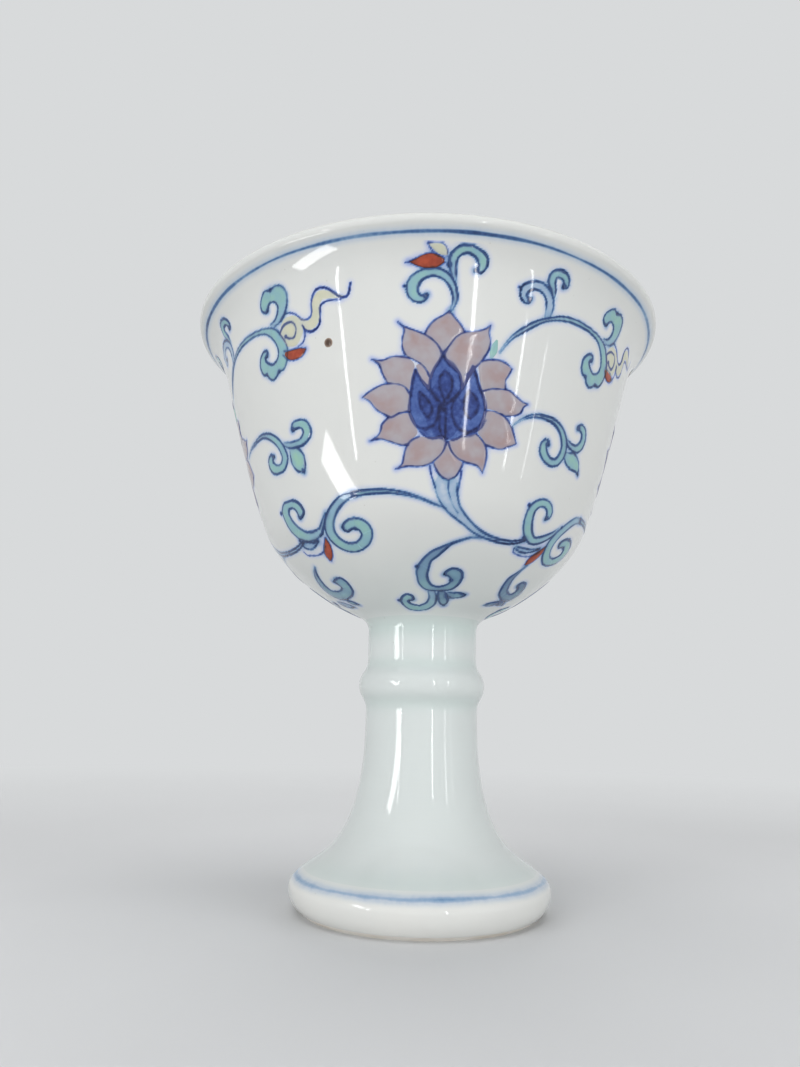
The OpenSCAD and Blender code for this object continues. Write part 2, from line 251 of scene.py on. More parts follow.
def addNode(tree, kind, sockets=None, stops=None, **settings):  # a node, its settings, ramp stops and links
    n = tree.nodes.new(kind)
    for key, value in settings.items():
        setattr(n, key, value)
    if stops:
        while len(n.color_ramp.elements) < len(stops):
            n.color_ramp.elements.new(0.5)
        for e, (place, colour) in zip(n.color_ramp.elements, stops):
            e.position, e.color = place, linear(colour)
    for key, value in (sockets or {}).items():
        if isinstance(value, bpy.types.NodeSocket):
            tree.links.new(value, n.inputs[key])
        else:
            n.inputs[key].default_value = linear(value) if isinstance(value, str) else value
    return n


def newMaterial(name, settings, attributes=(), **noises):
    # A material with its tree and shader, and by name the sockets its patterns need: the place in the object,
    # attributes of the mesh, and noises with a size in millimetres and a detail
    m = bpy.data.materials.new(name)
    m.use_nodes = True
    t = m.node_tree
    shader = t.nodes["Principled BSDF"]
    for key, value in settings.items():
        shader.inputs[key].default_value = value
    own = dict(place=addNode(t, "ShaderNodeTexCoord").outputs["Object"])
    for key in attributes:
        own[key] = addNode(t, "ShaderNodeAttribute", attribute_name=key).outputs["Fac"]
    for key, (size, detail) in noises.items():
        sockets = {"Vector": own["place"], "Scale": 1 / (size * mm), "Detail": detail}
        own[key] = addNode(t, "ShaderNodeTexNoise", sockets).outputs["Fac"]
    return m, t, shader, own


def layered(t, colour, *layers):
    # Colours over one another: each layer covers none where its source is at the first number, and its share
    # where the source is at the second
    for source, low, high, share, over in layers:
        amount = addNode(t, "ShaderNodeMapRange",
                         {"Value": source, "From Min": low, "From Max": high, "To Max": share})
        mix = addNode(t, "ShaderNodeMix", {0: amount.outputs[0], 6: colour, 7: over}, data_type="RGBA")
        colour = mix.outputs[2]
    return colour


def dress(t, shader, colour, relief=None, strength=0.0, deepMm=0.0):  # links colour and relief to a shader
    t.links.new(colour, shader.inputs["Base Color"])
    if relief is not None:
        bump = addNode(t, "ShaderNodeBump", {"Height": relief, "Strength": strength, "Distance": deepMm * mm})
        t.links.new(bump.outputs["Normal"], shader.inputs["Normal"])


# Clear glaze over white porcelain: a pale, faintly grey-green white with a wet gloss. Cobalt under it
# goes from a violet blush at its edge through washed blue to ink where the brush left most.
# Over the foot's edge the glaze is warmer, and it is also painted lighter there: a painted highlight
glaze = dict(plain="#dbdcd9", cool="#d7dddb", thin="#e2e2de",
             cloud="#cfd3d3", pooled="#c4d2ce", speck="#a9a69c",
             violet=("#c8cee4", "#adb8da", "#8299c8", "#4a66a6", "#263c80", "#0b1648"),
             teal=("#c6d0dc", "#a9bbd0", "#80a0c0", "#466b9c", "#284678", "#10234c"),
             coolZ=(46.0, 34.0), thinZ=(5.5, 3.5), cloudMm=14.0, speckMm=2.6, mottleMm=0.55,
             peelMm=1.6, pitMm=0.4, pitShare=0.22, relief=0.09, reliefMm=0.02, roughness=0.06, ior=1.52)
glazeMaterial, t, shader, own = newMaterial(
    "glazedPorcelainWithCobalt", {"Roughness": glaze["roughness"], "IOR": glaze["ior"]},
    ("pool", "cobalt", "teal"), cloud=(glaze["cloudMm"], 3.0), mottle=(glaze["mottleMm"], 2.0),
    peel=(glaze["peelMm"], 1.0), pits=(glaze["pitMm"], 1.0))
height = addNode(t, "ShaderNodeSeparateXYZ", {"Vector": own["place"]}).outputs["Z"]
speck = addNode(t, "ShaderNodeTexVoronoi", {"Vector": own["place"], "Scale": 1 / (glaze["speckMm"] * mm)})
coolZ, thinZ = np.array([glaze["coolZ"], glaze["thinZ"]]) * mm
ground = layered(t, glaze["plain"],
                 (height, *coolZ, 1.0, glaze["cool"]),   # down the stem
                 # over the edge of the foot: a warmer tint, and lighter as a painted highlight
                 (height, *thinZ, 1.0, glaze["thin"]),   # over the edge of the foot
                 (own["cloud"], 0.35, 0.7, 0.22, glaze["cloud"]),
                 (own["pool"], 0.0, 1.0, 1.0, glaze["pooled"]),
                 (speck.outputs["Distance"], 0.045, 0.02, 0.35, glaze["speck"]))
mottle = addNode(t, "ShaderNodeMapRange", {"Value": own["mottle"], "From Min": 0.3, "From Max": 0.7,
                                           "To Min": 0.86, "To Max": 1.08})
density = addNode(t, "ShaderNodeMath", {0: own["cobalt"], 1: mottle.outputs[0]},
                  operation="MULTIPLY").outputs[0]
violet, teal = [addNode(t, "ShaderNodeValToRGB", {"Fac": density},
                        list(zip(np.linspace(0, 1, 6), glaze[key]))) for key in ("violet", "teal")]
ink = layered(t, violet.outputs["Color"], (own["teal"], 0.0, 1.0, 1.0, teal.outputs["Color"]))
skin = addNode(t, "ShaderNodeMath", {0: own["pits"], 1: glaze["pitShare"], 2: own["peel"]},
               operation="MULTIPLY_ADD")
colour = layered(t, ground, (density, 0.01, 0.22, 1.0, ink))
dress(t, shader, colour, skin.outputs[0], glaze["relief"], glaze["reliefMm"])

# Overglaze enamel, a thin glassy layer over the cobalt: its colour drifts over a millimetre or two, fades
# where it thins out along a stroke, and lets the washed blue and the drawn lines under it show. Each has its
# name, two colours, the faded one, the wash and the ink through it, roughness and millimetres of drift.
enamels = dict(
    petal=("aubergineEnamel", "#a9a2a8", "#a28a89", "#a9a4a9", "#9094ae", "#363f76", 0.1, 1.9),
    leaf=("turquoiseEnamel", "#8cb6b6", "#95c1ac", "#9db6cc", "#789fc4", "#274478", 0.08, 1.6),
    bud=("ironRedEnamel", "#b04a2c", "#943822", "#7a3020", "#7c3222", "#3a1b1e", 0.2, 0.9),
    ribbon=("paleYellowEnamel", "#cfcdb6", "#c7c9b2", "#cdcfc6", "#b0b8bc", "#3c4d7e", 0.1, 1.8),
)
enamelSkin = dict(rippleMm=0.7, relief=0.3, reliefMm=0.03, ior=1.5)
enamelMaterials = {}
for kind, (name, plain, other, faded, wash, ink, roughness, driftMm) in enamels.items():
    enamelMaterials[kind], t, shader, own = newMaterial(
        name, {"Roughness": roughness, "IOR": enamelSkin["ior"]}, ("thin", "cobalt"),
        drift=(driftMm, 2.0), ripple=(enamelSkin["rippleMm"], 1.0))
    colour = layered(t, plain, (own["drift"], 0.36, 0.66, 1.0, other), (own["thin"], 0.0, 1.0, 1.0, faded),
                     (own["cobalt"], 0.03, 0.4, 0.6, wash), (own["cobalt"], 0.3, 0.74, 0.96, ink))
    dress(t, shader, colour, own["ripple"], enamelSkin["relief"], enamelSkin["reliefMm"])

# Bare fired porcelain: dry, fine and matte, in places a little warmer
clay = dict(plain="#e8e4dd", warm="#ded6ca", grainMm=0.4, stainMm=5.0, relief=0.35, reliefMm=0.05,
            roughness=0.75)
clayMaterial, t, shader, own = newMaterial("unglazedPorcelain", {"Roughness": clay["roughness"]},
                                           grain=(clay["grainMm"], 4.0), stain=(clay["stainMm"], 2.0))
colour = layered(t, clay["plain"], (own["stain"], 0.4, 0.75, 1.0, clay["warm"]))
dress(t, shader, colour, own["grain"], clay["relief"], clay["reliefMm"])

# Iron spot in the paste, burnt dark brown under the glaze, paler at its edge
iron = dict(dark="#3a2a22", brown="#5a4234", edge="#b8a493", burnMm=0.3, roughness=0.1)
spotMaterial, t, shader, own = newMaterial("burntIronSpot", {"Roughness": iron["roughness"]}, ("thin",),
                                           burn=(iron["burnMm"], 2.0))
dress(t, shader, layered(t, iron["dark"], (own["burn"], 0.0, 1.0, 1.0, iron["brown"]),
                         (own["thin"], 0.0, 1.0, 1.0, iron["edge"])))
print("materials made")


# The painting. Points are (degrees from the blossom, millimetres up the side) and, where a third
# number stands, the half width in millimetres.
def smoothLine(points, step=0.16):
    # A smooth curve through the points: cubic pieces whose slopes at each point come from its two
    # neighbours, spaced evenly along a running length in millimetres.
    p = np.array(points, float)
    k = degreeWidth(p[:, 1]).mean()
    run = np.r_[0, np.cumsum(np.hypot(np.diff(p[:, 0]) * k, np.diff(p[:, 1])))]
    slope = np.gradient(p, run, axis=0)
    x = np.linspace(0, run[-1], max(8, int(run[-1] / step)))
    i = np.clip(np.searchsorted(run, x, side="right") - 1, 0, len(run) - 2)
    h = run[i + 1] - run[i]
    w = ((x - run[i]) / h)[:, None]
    h = h[:, None]
    q = ((2 * w ** 3 - 3 * w ** 2 + 1) * p[i] + (w ** 3 - 2 * w ** 2 + w) * h * slope[i]
         + (3 * w ** 2 - 2 * w ** 3) * p[i + 1] + (w ** 3 - w ** 2) * h * slope[i + 1])
    if q.shape[1] > 2:
        q[:, 2] = np.maximum(q[:, 2], 0.03)
    return q


def bandSides(line):  # the two edges of a band, its centre line moved square to its travel by the half width
    k = degreeWidth(line[:, 1])
    d = np.gradient(line[:, :2], axis=0) * np.stack([k, np.ones(len(k))], 1)
    d /= np.maximum(np.hypot(*d.T), 1e-9)[:, None]
    off = line[:, 2:3] * np.stack([-d[:, 1] / k, d[:, 0]], 1)
    return line[:, :2] + off, line[:, :2] - off


# Petals as two edges from tip to heart; the number is how many points of the edge carry this petal's own line
petals = [
    ([(-0.4, 37.2), (-1.7, 36.7), (-4, 36), (-5.2, 35.3), (-6, 34.6), (-4.4, 34), (-2.7, 33.2),
      (-1.9, 32.5)], 5,
     [(-0.4, 37.2), (1, 36.4), (2.2, 35.8), (3.3, 35), (1.4, 34.3), (0, 33.4), (-1.5, 32.6)], 4),
    ([(-12.4, 36), (-10.9, 35.2), (-11.3, 34), (-11.3, 33), (-10.7, 32.3), (-8.4, 31.6), (-6.4, 31),
      (-5.2, 30.3), (-4.7, 29.5)], 5,
     [(-12.4, 36), (-11.1, 35.5), (-8.2, 34.9), (-6.1, 34.5), (-4.4, 34), (-2.7, 33.2), (-1.9, 32.5),
      (-2.6, 31.4), (-3.5, 30.6), (-4.3, 29.4)], 7),
    ([(-19, 32), (-17.1, 31.3), (-16.5, 30.4), (-15.2, 29.2), (-13, 29), (-11.1, 28.7), (-9.8, 28.2)], 4,
     [(-19, 32), (-16.5, 31.75), (-13.6, 32.1), (-10.2, 31.95), (-8.5, 31.2), (-8.9, 29.9), (-9.4, 28.8)], 4),
    ([(-8.1, 31), (-7.4, 29.9), (-6.3, 29), (-5.1, 28.3)], 0,
     [(-8.1, 31), (-7.3, 31.25), (-5.7, 30.6), (-4.9, 29.9), (-4.6, 29.2), (-4.7, 28.4)], 0),
    ([(-22, 27.8), (-19.8, 28.4), (-17.3, 28.9), (-15, 29.1), (-13, 29), (-11.1, 28.7), (-9.7, 27.9)], 7,
     [(-22, 27.8), (-20.2, 27.3), (-18.2, 26.2), (-16.1, 25.6), (-15, 25.3), (-12.3, 25.7), (-9.6, 25.9)], 7),
    ([(-20.8, 22.75), (-18.6, 23.2), (-17.7, 23.7), (-17.1, 24.5), (-15.5, 25.2), (-12.3, 25.65),
      (-9.5, 25.7)], 5,
     [(-20.8, 22.75), (-17.7, 22.9), (-14.8, 22.5), (-11.9, 22.1), (-10.3, 22.1), (-9.4, 22.6), (-7.7, 23.4),
      (-8.2, 24.4)], 5),
    ([(-13.8, 19.4), (-11.9, 20), (-11.5, 20.7), (-10.9, 21.6), (-9.6, 22.5), (-7.3, 23), (-5, 22.95)], 6,
     [(-13.8, 19.4), (-10.2, 19.7), (-7.3, 19.65), (-4.4, 19.95), (-2.3, 20.6), (-0.7, 21.4), (0.1, 22.5),
      (-1, 23.1)], 7),
    ([(1.3, 18.2), (-0.2, 18.35), (-1.9, 19), (-3.2, 20), (-2.3, 20.6), (-0.7, 21.4), (0.2, 22.4)], 4,
     [(1.3, 18.2), (3.1, 18.6), (4.3, 19.4), (5, 20.1), (3.5, 20.7), (1.4, 21.6), (0.4, 22.4)], 4),
    ([(11, 19.3), (9.3, 20), (6, 20.3), (3.5, 20.7), (1.4, 21.6), (0.6, 22.5), (2, 22.9)], 6,
     [(11, 19.3), (11.5, 20.4), (11.6, 21.4), (10.8, 22.5), (9.3, 23.2), (8.1, 23.6), (6.5, 23.4)], 6),
    ([(20, 23.1), (18.9, 24.1), (17.7, 25.1), (16, 25.8), (14.1, 26.2), (12.2, 26.4), (9.6, 26.3)], 7,
     [(20, 23.1), (17.7, 22.6), (15.2, 22.2), (13.1, 22.3), (11, 22.5), (9.7, 23.2), (8.5, 23.8),
      (9, 24.7)], 5),
    ([(22, 27.85), (20.2, 28), (18.1, 28.5), (16, 29), (13.5, 29), (11.4, 28.9), (8.7, 28.5)], 7,
     [(22, 27.85), (20.8, 27.5), (20, 26.7), (18.1, 26.25), (16, 26.1), (14.2, 26.25), (12.2, 26.5),
      (9.7, 26.6)], 6),
    ([(16, 31.5), (14.7, 31.9), (12.7, 32.2), (10.2, 32.15), (8.2, 31.9), (7.2, 31.3)], 5,
     [(16, 31.5), (15.4, 30.8), (14.6, 30), (14.9, 29.2), (13.5, 29.05), (11.4, 28.95), (8.7, 28.6),
      (7.9, 29.7)], 4),
    ([(9.5, 36), (8.1, 35.5), (5.6, 35.1), (3.3, 34.9), (1.4, 34.3), (0, 33.4), (-1.3, 32.5), (-0.3, 31.4),
      (1.4, 30.7), (2.7, 30), (3.2, 29.2), (3.2, 28.5)], 7,
     [(9.5, 36), (9.2, 35.2), (9.75, 34.2), (9.5, 33.2), (8.5, 32.3), (7, 31.2), (5.6, 30.1), (4.4, 29),
      (3.4, 28.4)], 5),
]

# Heart of the blossom: washed drops with a darker core, each two edges from its tip down, or a centre line
# with half widths; then strength of the wash and of the edge
hearts = [
    ([(-1, 28.6, 1.2), (-0.9, 27.2, 1.9), (-0.8, 25.8, 2.3), (-0.7, 24.4, 1.7)], 0.77, 0.0),
    ([([(-1.6, 32.4), (-2.6, 31.4), (-3.9, 30.4), (-4.6, 29.4), (-4.6, 28.5), (-3.5, 27.6), (-1.4, 26.6)],
       [(-1.6, 32.4), (-0.3, 31.3), (1, 30.8), (2.3, 30.4), (3.1, 29.5), (3.3, 28.6), (2.3, 27.8),
        (0.6, 27.1), (-1.2, 26.5)])], 0.66, 1.0),
    ([([(-8.2, 30.5), (-8.8, 29.5), (-9.2, 28.3), (-9.7, 26.9), (-9.8, 25.8), (-8.9, 24.8), (-7.6, 24.1),
        (-5.5, 23.9)],
       [(-8.2, 30.5), (-6.6, 29.3), (-5.1, 28.5), (-3.5, 27.6), (-2.2, 26.7), (-2.1, 25.7), (-3.1, 24.5),
        (-5.2, 23.9)])], 0.65, 1.0),
    ([([(5.9, 31.1), (4.6, 29.8), (3.5, 28.6), (2.1, 27.6), (1.1, 26.5), (1.4, 25.4), (2.4, 24.4),
        (4.1, 23.9), (5.8, 23.7)],
       [(5.9, 31.1), (6.8, 30.3), (7.5, 29.4), (8.4, 28.5), (9.4, 27.6), (10, 26.6), (9.7, 25.5), (8.4, 24.4),
        (6, 23.7)])], 0.65, 1.0),
    ([(-7.4, 23.8, 0.12), (-5.3, 23.4, 0.42), (-3.2, 23.3, 0.5), (-1.4, 23.7, 0.45)], 0.62, 0.0),
    ([(0.2, 23.4, 0.5), (2.1, 23.3, 0.52), (4.3, 23.6, 0.35), (6.4, 23.8, 0.1)], 0.58, 0.0),
    ([([(-1.1, 30.4), (-2.1, 29.8), (-2.2, 28.9), (-1.7, 28), (-0.7, 27)],
       [(-1.1, 30.4), (0.4, 30), (1, 29.2), (0.7, 28.2), (-0.6, 27)])], 0.81, 1.0),
    ([([(-7.1, 28), (-7.2, 27.1), (-6.5, 26), (-5, 25.2)],
       [(-7.1, 28), (-5.5, 27.4), (-4.2, 26.5), (-4, 25.7), (-4.7, 25.2)])], 0.81, 1.0),
    ([([(5.3, 28.4), (4.2, 27.3), (4.3, 26.3), (5.1, 25.6), (6, 25.3)],
       [(5.4, 28.4), (6.9, 27.9), (7.9, 27.1), (7.8, 26.2), (6.3, 25.3)])], 0.81, 1.0),
]

# Scrolling leaves, vines and sprigs: a centre line with half width, or for a lobed one its two edges stretch
# by stretch; then strength of wash, and what fills it
leaves = dict(
    topLeftScroll=([
        (0, 37.3, 0.12), (0.7, 38.4, 0.22), (0.45, 39.5, 0.3), (-0.5, 40.45, 0.38), (-2, 41.15, 0.43),
        (-4.4, 41.45, 0.45), (-7.1, 41.05, 0.52), (-8.7, 40.2, 0.65), (-8.9, 39.3, 0.62), (-8, 38.65, 0.5),
        (-6.7, 38.5, 0.36), (-5.6, 38.95, 0.15)], 0.3, "leaf"),
    topRightScroll=([
        (0.7, 40.4, 0.1), (0.1, 41.5, 0.28), (-0.2, 42.5, 0.42), (0.2, 43.3, 0.45), (1.4, 43.9, 0.45),
        (3.2, 44.05, 0.42), (5, 43.7, 0.48), (6.2, 43.1, 0.58), (6.3, 42.4, 0.5), (5.6, 41.95, 0.36),
        (4.8, 41.85, 0.12)], 0.3, "leaf"),
    sprigCurl=([
        (23.8, 38.3, 0.3), (24.2, 39.3, 0.48), (23.9, 40.3, 0.52), (22.6, 41.1, 0.48), (20.5, 41.5, 0.48),
        (18.2, 41.25, 0.45), (16.9, 40.6, 0.5), (17, 39.9, 0.42), (18, 39.6, 0.34),
        (18.8, 39.95, 0.15)], 0.42, "blue"),
    sprigKnob=([
        (25, 40.8, 0.15), (24.2, 41.7, 0.35), (23.3, 42.5, 0.5), (23.6, 43.2, 0.48), (25.2, 43.5, 0.42),
        (26.8, 43.2, 0.42), (27.3, 42.5, 0.35), (26.6, 42.2, 0.12)], 0.4, "leaf"),
    upperScroll=([
        ([(12.2, 33.2), (13.5, 34.2), (15, 35.2), (17.5, 36.3), (20, 37.2), (22.5, 37.9), (25, 38.4),
          (28, 38.95), (31, 39.2), (35, 39.25), (39, 39.1), (42, 38.9), (45, 38.5)],
         [(12.5, 33.1), (13.8, 34), (15.3, 34.9), (18, 35.9), (20.5, 36.8), (23, 37.6), (26, 38.2),
          (29, 38.55), (33, 38.75), (37, 38.7), (40, 38.5), (42.5, 38.1), (44.3, 37.4)]),
        ([(45, 38.5), (46.5, 38), (48, 37), (49.2, 35.8), (49.2, 34.8), (48.3, 33.8), (46.8, 33.1),
          (45, 33.1)],
         [(44.3, 37.4), (45.5, 36.5), (46, 35.6), (45.5, 34.8), (44.6, 34.4)]),
        ([(45, 33.1), (43.8, 32.6), (42.3, 32.4), (41, 32.7), (40.2, 33.3)],
         [(44.6, 34.4), (43.6, 34.25), (42.5, 34.3), (41.6, 34.55)]),
        ([(40.2, 33.3), (38.5, 33.6), (37.8, 34.4), (38, 35.3), (39.3, 36), (40.7, 36.3), (41.7, 36.1),
          (41.7, 35.6)],
         [(41.6, 34.55), (40.9, 34.85), (40.5, 35.2), (40.8, 35.5), (41.3, 35.5)])], 0.32, "leaf"),
    upperLeaf=([
        ([(44.7, 39), (46.3, 39.2), (47.7, 39.9), (48.2, 40.7), (47.5, 41.3), (46.6, 41.45)],
         [(46, 38.5), (49, 39), (50.7, 40), (51.6, 41.2), (51.6, 42), (50.8, 42.7), (49, 43), (47, 42.75)]),
        ([(46.6, 41.45), (46, 41.45), (45.3, 41.25), (44.9, 41), (44.6, 40.8)],
         [(47, 42.75), (45.5, 43), (43.8, 42.5), (42.6, 41.7), (42.5, 41.1), (43.5, 40.65),
          (44.5, 40.6)])], 0.3, "leaf"),
    sprout=([
        (18.4, 25.2, 0.05), (21, 26.1, 0.1), (24.5, 26.75, 0.16), (28.5, 26.9, 0.22), (32, 26.65, 0.28),
        (34.8, 25.95, 0.38), (36.6, 25, 0.46), (37.3, 24, 0.47), (36.9, 23, 0.48), (35.5, 22.2, 0.45),
        (33.3, 21.95, 0.43), (31, 22.3, 0.5), (29.5, 23, 0.55), (29.3, 23.7, 0.45), (30.2, 24.15, 0.34),
        (31.1, 23.8, 0.15)], 0.42, "leaf"),
    sproutCurl=([
        (37.6, 25.2, 0.15), (39.2, 24.75, 0.3), (41.2, 24.55, 0.36), (43.6, 24.7, 0.48), (45.1, 25.4, 0.52),
        (45.4, 26.3, 0.5), (44.6, 27, 0.48), (43, 27.25, 0.42), (41.4, 27, 0.2)], 0.42, "leaf"),
    sproutDrop=([
        (38.6, 23.6, 0.25), (40.2, 23.15, 0.75), (42.6, 22.95, 0.95), (44.8, 22.65, 0.75), (46.2, 22.2, 0.38),
        (47.3, 21.75, 0.04)], 0.25, "leaf"),
    lowLeaf=([
        (46.2, 14.6, 0.1), (44.4, 13.7, 0.3), (42, 13, 0.42), (39, 12.4, 0.48), (36, 12.2, 0.48),
        (33.3, 12.7, 0.55), (31.2, 13.6, 0.62), (30.1, 14.8, 0.62), (30.3, 16, 0.55), (32.5, 16.85, 0.46),
        (35.3, 17, 0.46), (37.6, 16.5, 0.5), (38.2, 15.7, 0.42), (37.3, 15.2, 0.15)], 0.36, "leaf"),
    bigVine=([
        (1, 14.9, 0.03), (-2, 15.3, 0.06), (-6, 15.9, 0.09), (-10, 16.4, 0.13), (-16, 16.85, 0.2),
        (-22, 16.95, 0.26), (-27.8, 16.82, 0.3)], 0.5, "leaf"),
    bigScroll=([
        ([(-27.9, 17.1), (-31.5, 16.85), (-34.8, 16.1), (-37.7, 15.15), (-40.1, 14), (-41.4, 12.7),
          (-41.2, 11.6)],
         [(-27.5, 16.5), (-30, 16.15), (-33, 15.4), (-35.3, 14.5), (-36.9, 13.6), (-37.6, 12.5),
          (-37, 11.7)]),
        ([(-41.2, 11.6), (-39.2, 10.5), (-35.8, 9.7), (-32.4, 9.5), (-29, 9.75)],
         [(-37, 11.7), (-35.2, 11.05), (-32.9, 10.75), (-30.7, 10.8)]),
        ([(-29, 9.75), (-25.8, 10.45), (-23.8, 11.5), (-23.4, 12.3)],
         [(-30.7, 10.8), (-28.7, 11.25), (-27.5, 11.8)]),
        ([(-23.4, 12.3), (-24.2, 13.1), (-26.2, 13.75), (-28.6, 14)],
         [(-27.5, 11.8), (-28, 12.4), (-29.3, 12.65)]),
        ([(-28.6, 14), (-30.9, 13.85), (-33.1, 13.4), (-34, 13.05)],
         [(-29.3, 12.65), (-30.9, 12.6), (-32.3, 12.4), (-33.5, 12.55), (-34, 12.9)])], 0.45, "leaf"),
    bottomSprig=([
        ([(14.6, 11.65), (11, 11.55), (7.7, 11.1), (4, 10.5), (0.9, 9.9), (-2.3, 9.3), (-5.3, 8.3),
          (-7.4, 7.3)],
         [(14.8, 11.45), (11.2, 11.35), (7.8, 10.9), (4.4, 10.3), (2.2, 9.5), (-0.2, 8.55), (-2.5, 7.8),
          (-3.3, 6.7)]),
        ([(-7.4, 7.3), (-8.6, 6.3), (-8.5, 5.2), (-7.5, 3.9), (-4.6, 3), (0.5, 2.7)],
         [(-3.3, 6.7), (-3.8, 5.5), (-3, 4.5), (-1, 3.75), (2.3, 3.5)]),
        ([(0.5, 2.7), (5.5, 2.8), (10.3, 3.2), (12.5, 4.1), (13.1, 5.3)],
         [(2.3, 3.5), (5.3, 3.75), (7.5, 4.25), (8, 4.8)]),
        ([(13.1, 5.3), (11.7, 6.3), (9.6, 6.7), (6.5, 6.7), (4.6, 6.2), (3.9, 5.8)],
         [(8, 4.8), (6.8, 5.3), (5.5, 5.55), (4.5, 5.6)])], 0.9, "leaf"),
    gapSprig=([
        ([(42.2, 8.8), (40, 7.45), (37.9, 6.2), (38.7, 4.75)],
         [(42.9, 8.7), (41.4, 7.3), (41.2, 6.1), (43.3, 4.8)]),
        ([(38.7, 4.75), (42.3, 3.25), (49.3, 2.4)], [(43.3, 4.8), (45.4, 4.2), (49, 3.75)]),
        ([(49.3, 2.4), (55.6, 2.3), (59.7, 2.7), (60.7, 3.9)], [(49, 3.75), (52.3, 3.8), (53.3, 4.4)]),
        ([(60.7, 3.9), (57.3, 5.25), (53.3, 6.1), (49.7, 6.05), (48.6, 5.5)],
         [(53.3, 4.4), (52, 4.9), (49.6, 5.2)])], 1.08, "leaf"),
    gapTip=([(50.5, 2.1, 0.3), (54, 1.75, 0.5), (57.5, 1.6, 0.36), (60.6, 1.5, 0.04)], 1.05, "leaf"),
    gapLeaf=([(41.5, 0.6, 0.1), (44.5, 0.9, 0.36), (48.5, 1.3, 0.46), (52.5, 1.9, 0.12)], 1.05, "leaf"),
    mainStem=([
        (0.6, 17.7, 1.3), (0.9, 16.9, 1.2), (1.8, 16, 1.05), (3.2, 15.05, 0.82), (5.4, 14.2, 0.6),
        (8.2, 13.35, 0.44), (11, 12.6, 0.38), (14, 12.05, 0.32), (17.5, 11.65, 0.26), (21.5, 11.4, 0.22),
        (25.5, 11.35, 0.22), (29, 11.55, 0.2), (32.5, 12, 0.12)], 0.42, "blue"),
    lowLeaflet=([
        ([(30, 11), (34, 10.95), (38.5, 11.05), (42, 11.4)],
         [(29.8, 10.8), (32, 10.45), (35, 10.3), (39.2, 10.7), (42.4, 11.3)])], 0.5, "blue"),
    bottomLeaflet=([
        ([(8.7, 2.55), (11.7, 2.5), (15.4, 2.55), (19.7, 2.3)],
         [(10.4, 1.3), (14.2, 1.4), (17.8, 1.6), (20.2, 2.1)])], 0.9, "leaf"),
    bottomCurl=([
        ([(1.1, 2.6), (2.9, 1.2), (2.5, -0.5), (-1.6, -1.45), (-9.1, -1.8)],
         [(-2.8, 2.6), (-1.8, 1.1), (-3.5, 0), (-8, -0.65)]),
        ([(-9.1, -1.8), (-16.5, -1.5), (-20.1, -0.5), (-20.7, 0.6)],
         [(-8, -0.65), (-12.4, -0.4), (-14.7, -0.05), (-15.6, 0.4)]),
        ([(-20.7, 0.6), (-18.1, 1.55), (-15.3, 1.95), (-12.4, 1.65), (-11.6, 0.9)],
         [(-15.6, 0.4), (-14.7, 0.65), (-13.3, 0.55)])], 0.45, "leaf"),
    bottomDrop=([
        ([(2.9, 2.6), (3.9, 1.2), (6.9, 0), (10.2, -0.5)],
         [(6.9, 2.6), (9.7, 1.5), (11.3, 0.4), (10.2, -0.5)])], 0.95, "leaf"),
    palestLeaf=([(10.2, 32.3, 0.15), (10.7, 33.1, 0.42), (11.1, 34, 0.3), (11.4, 34.5, 0.1)], 0.0, "bare"),
)
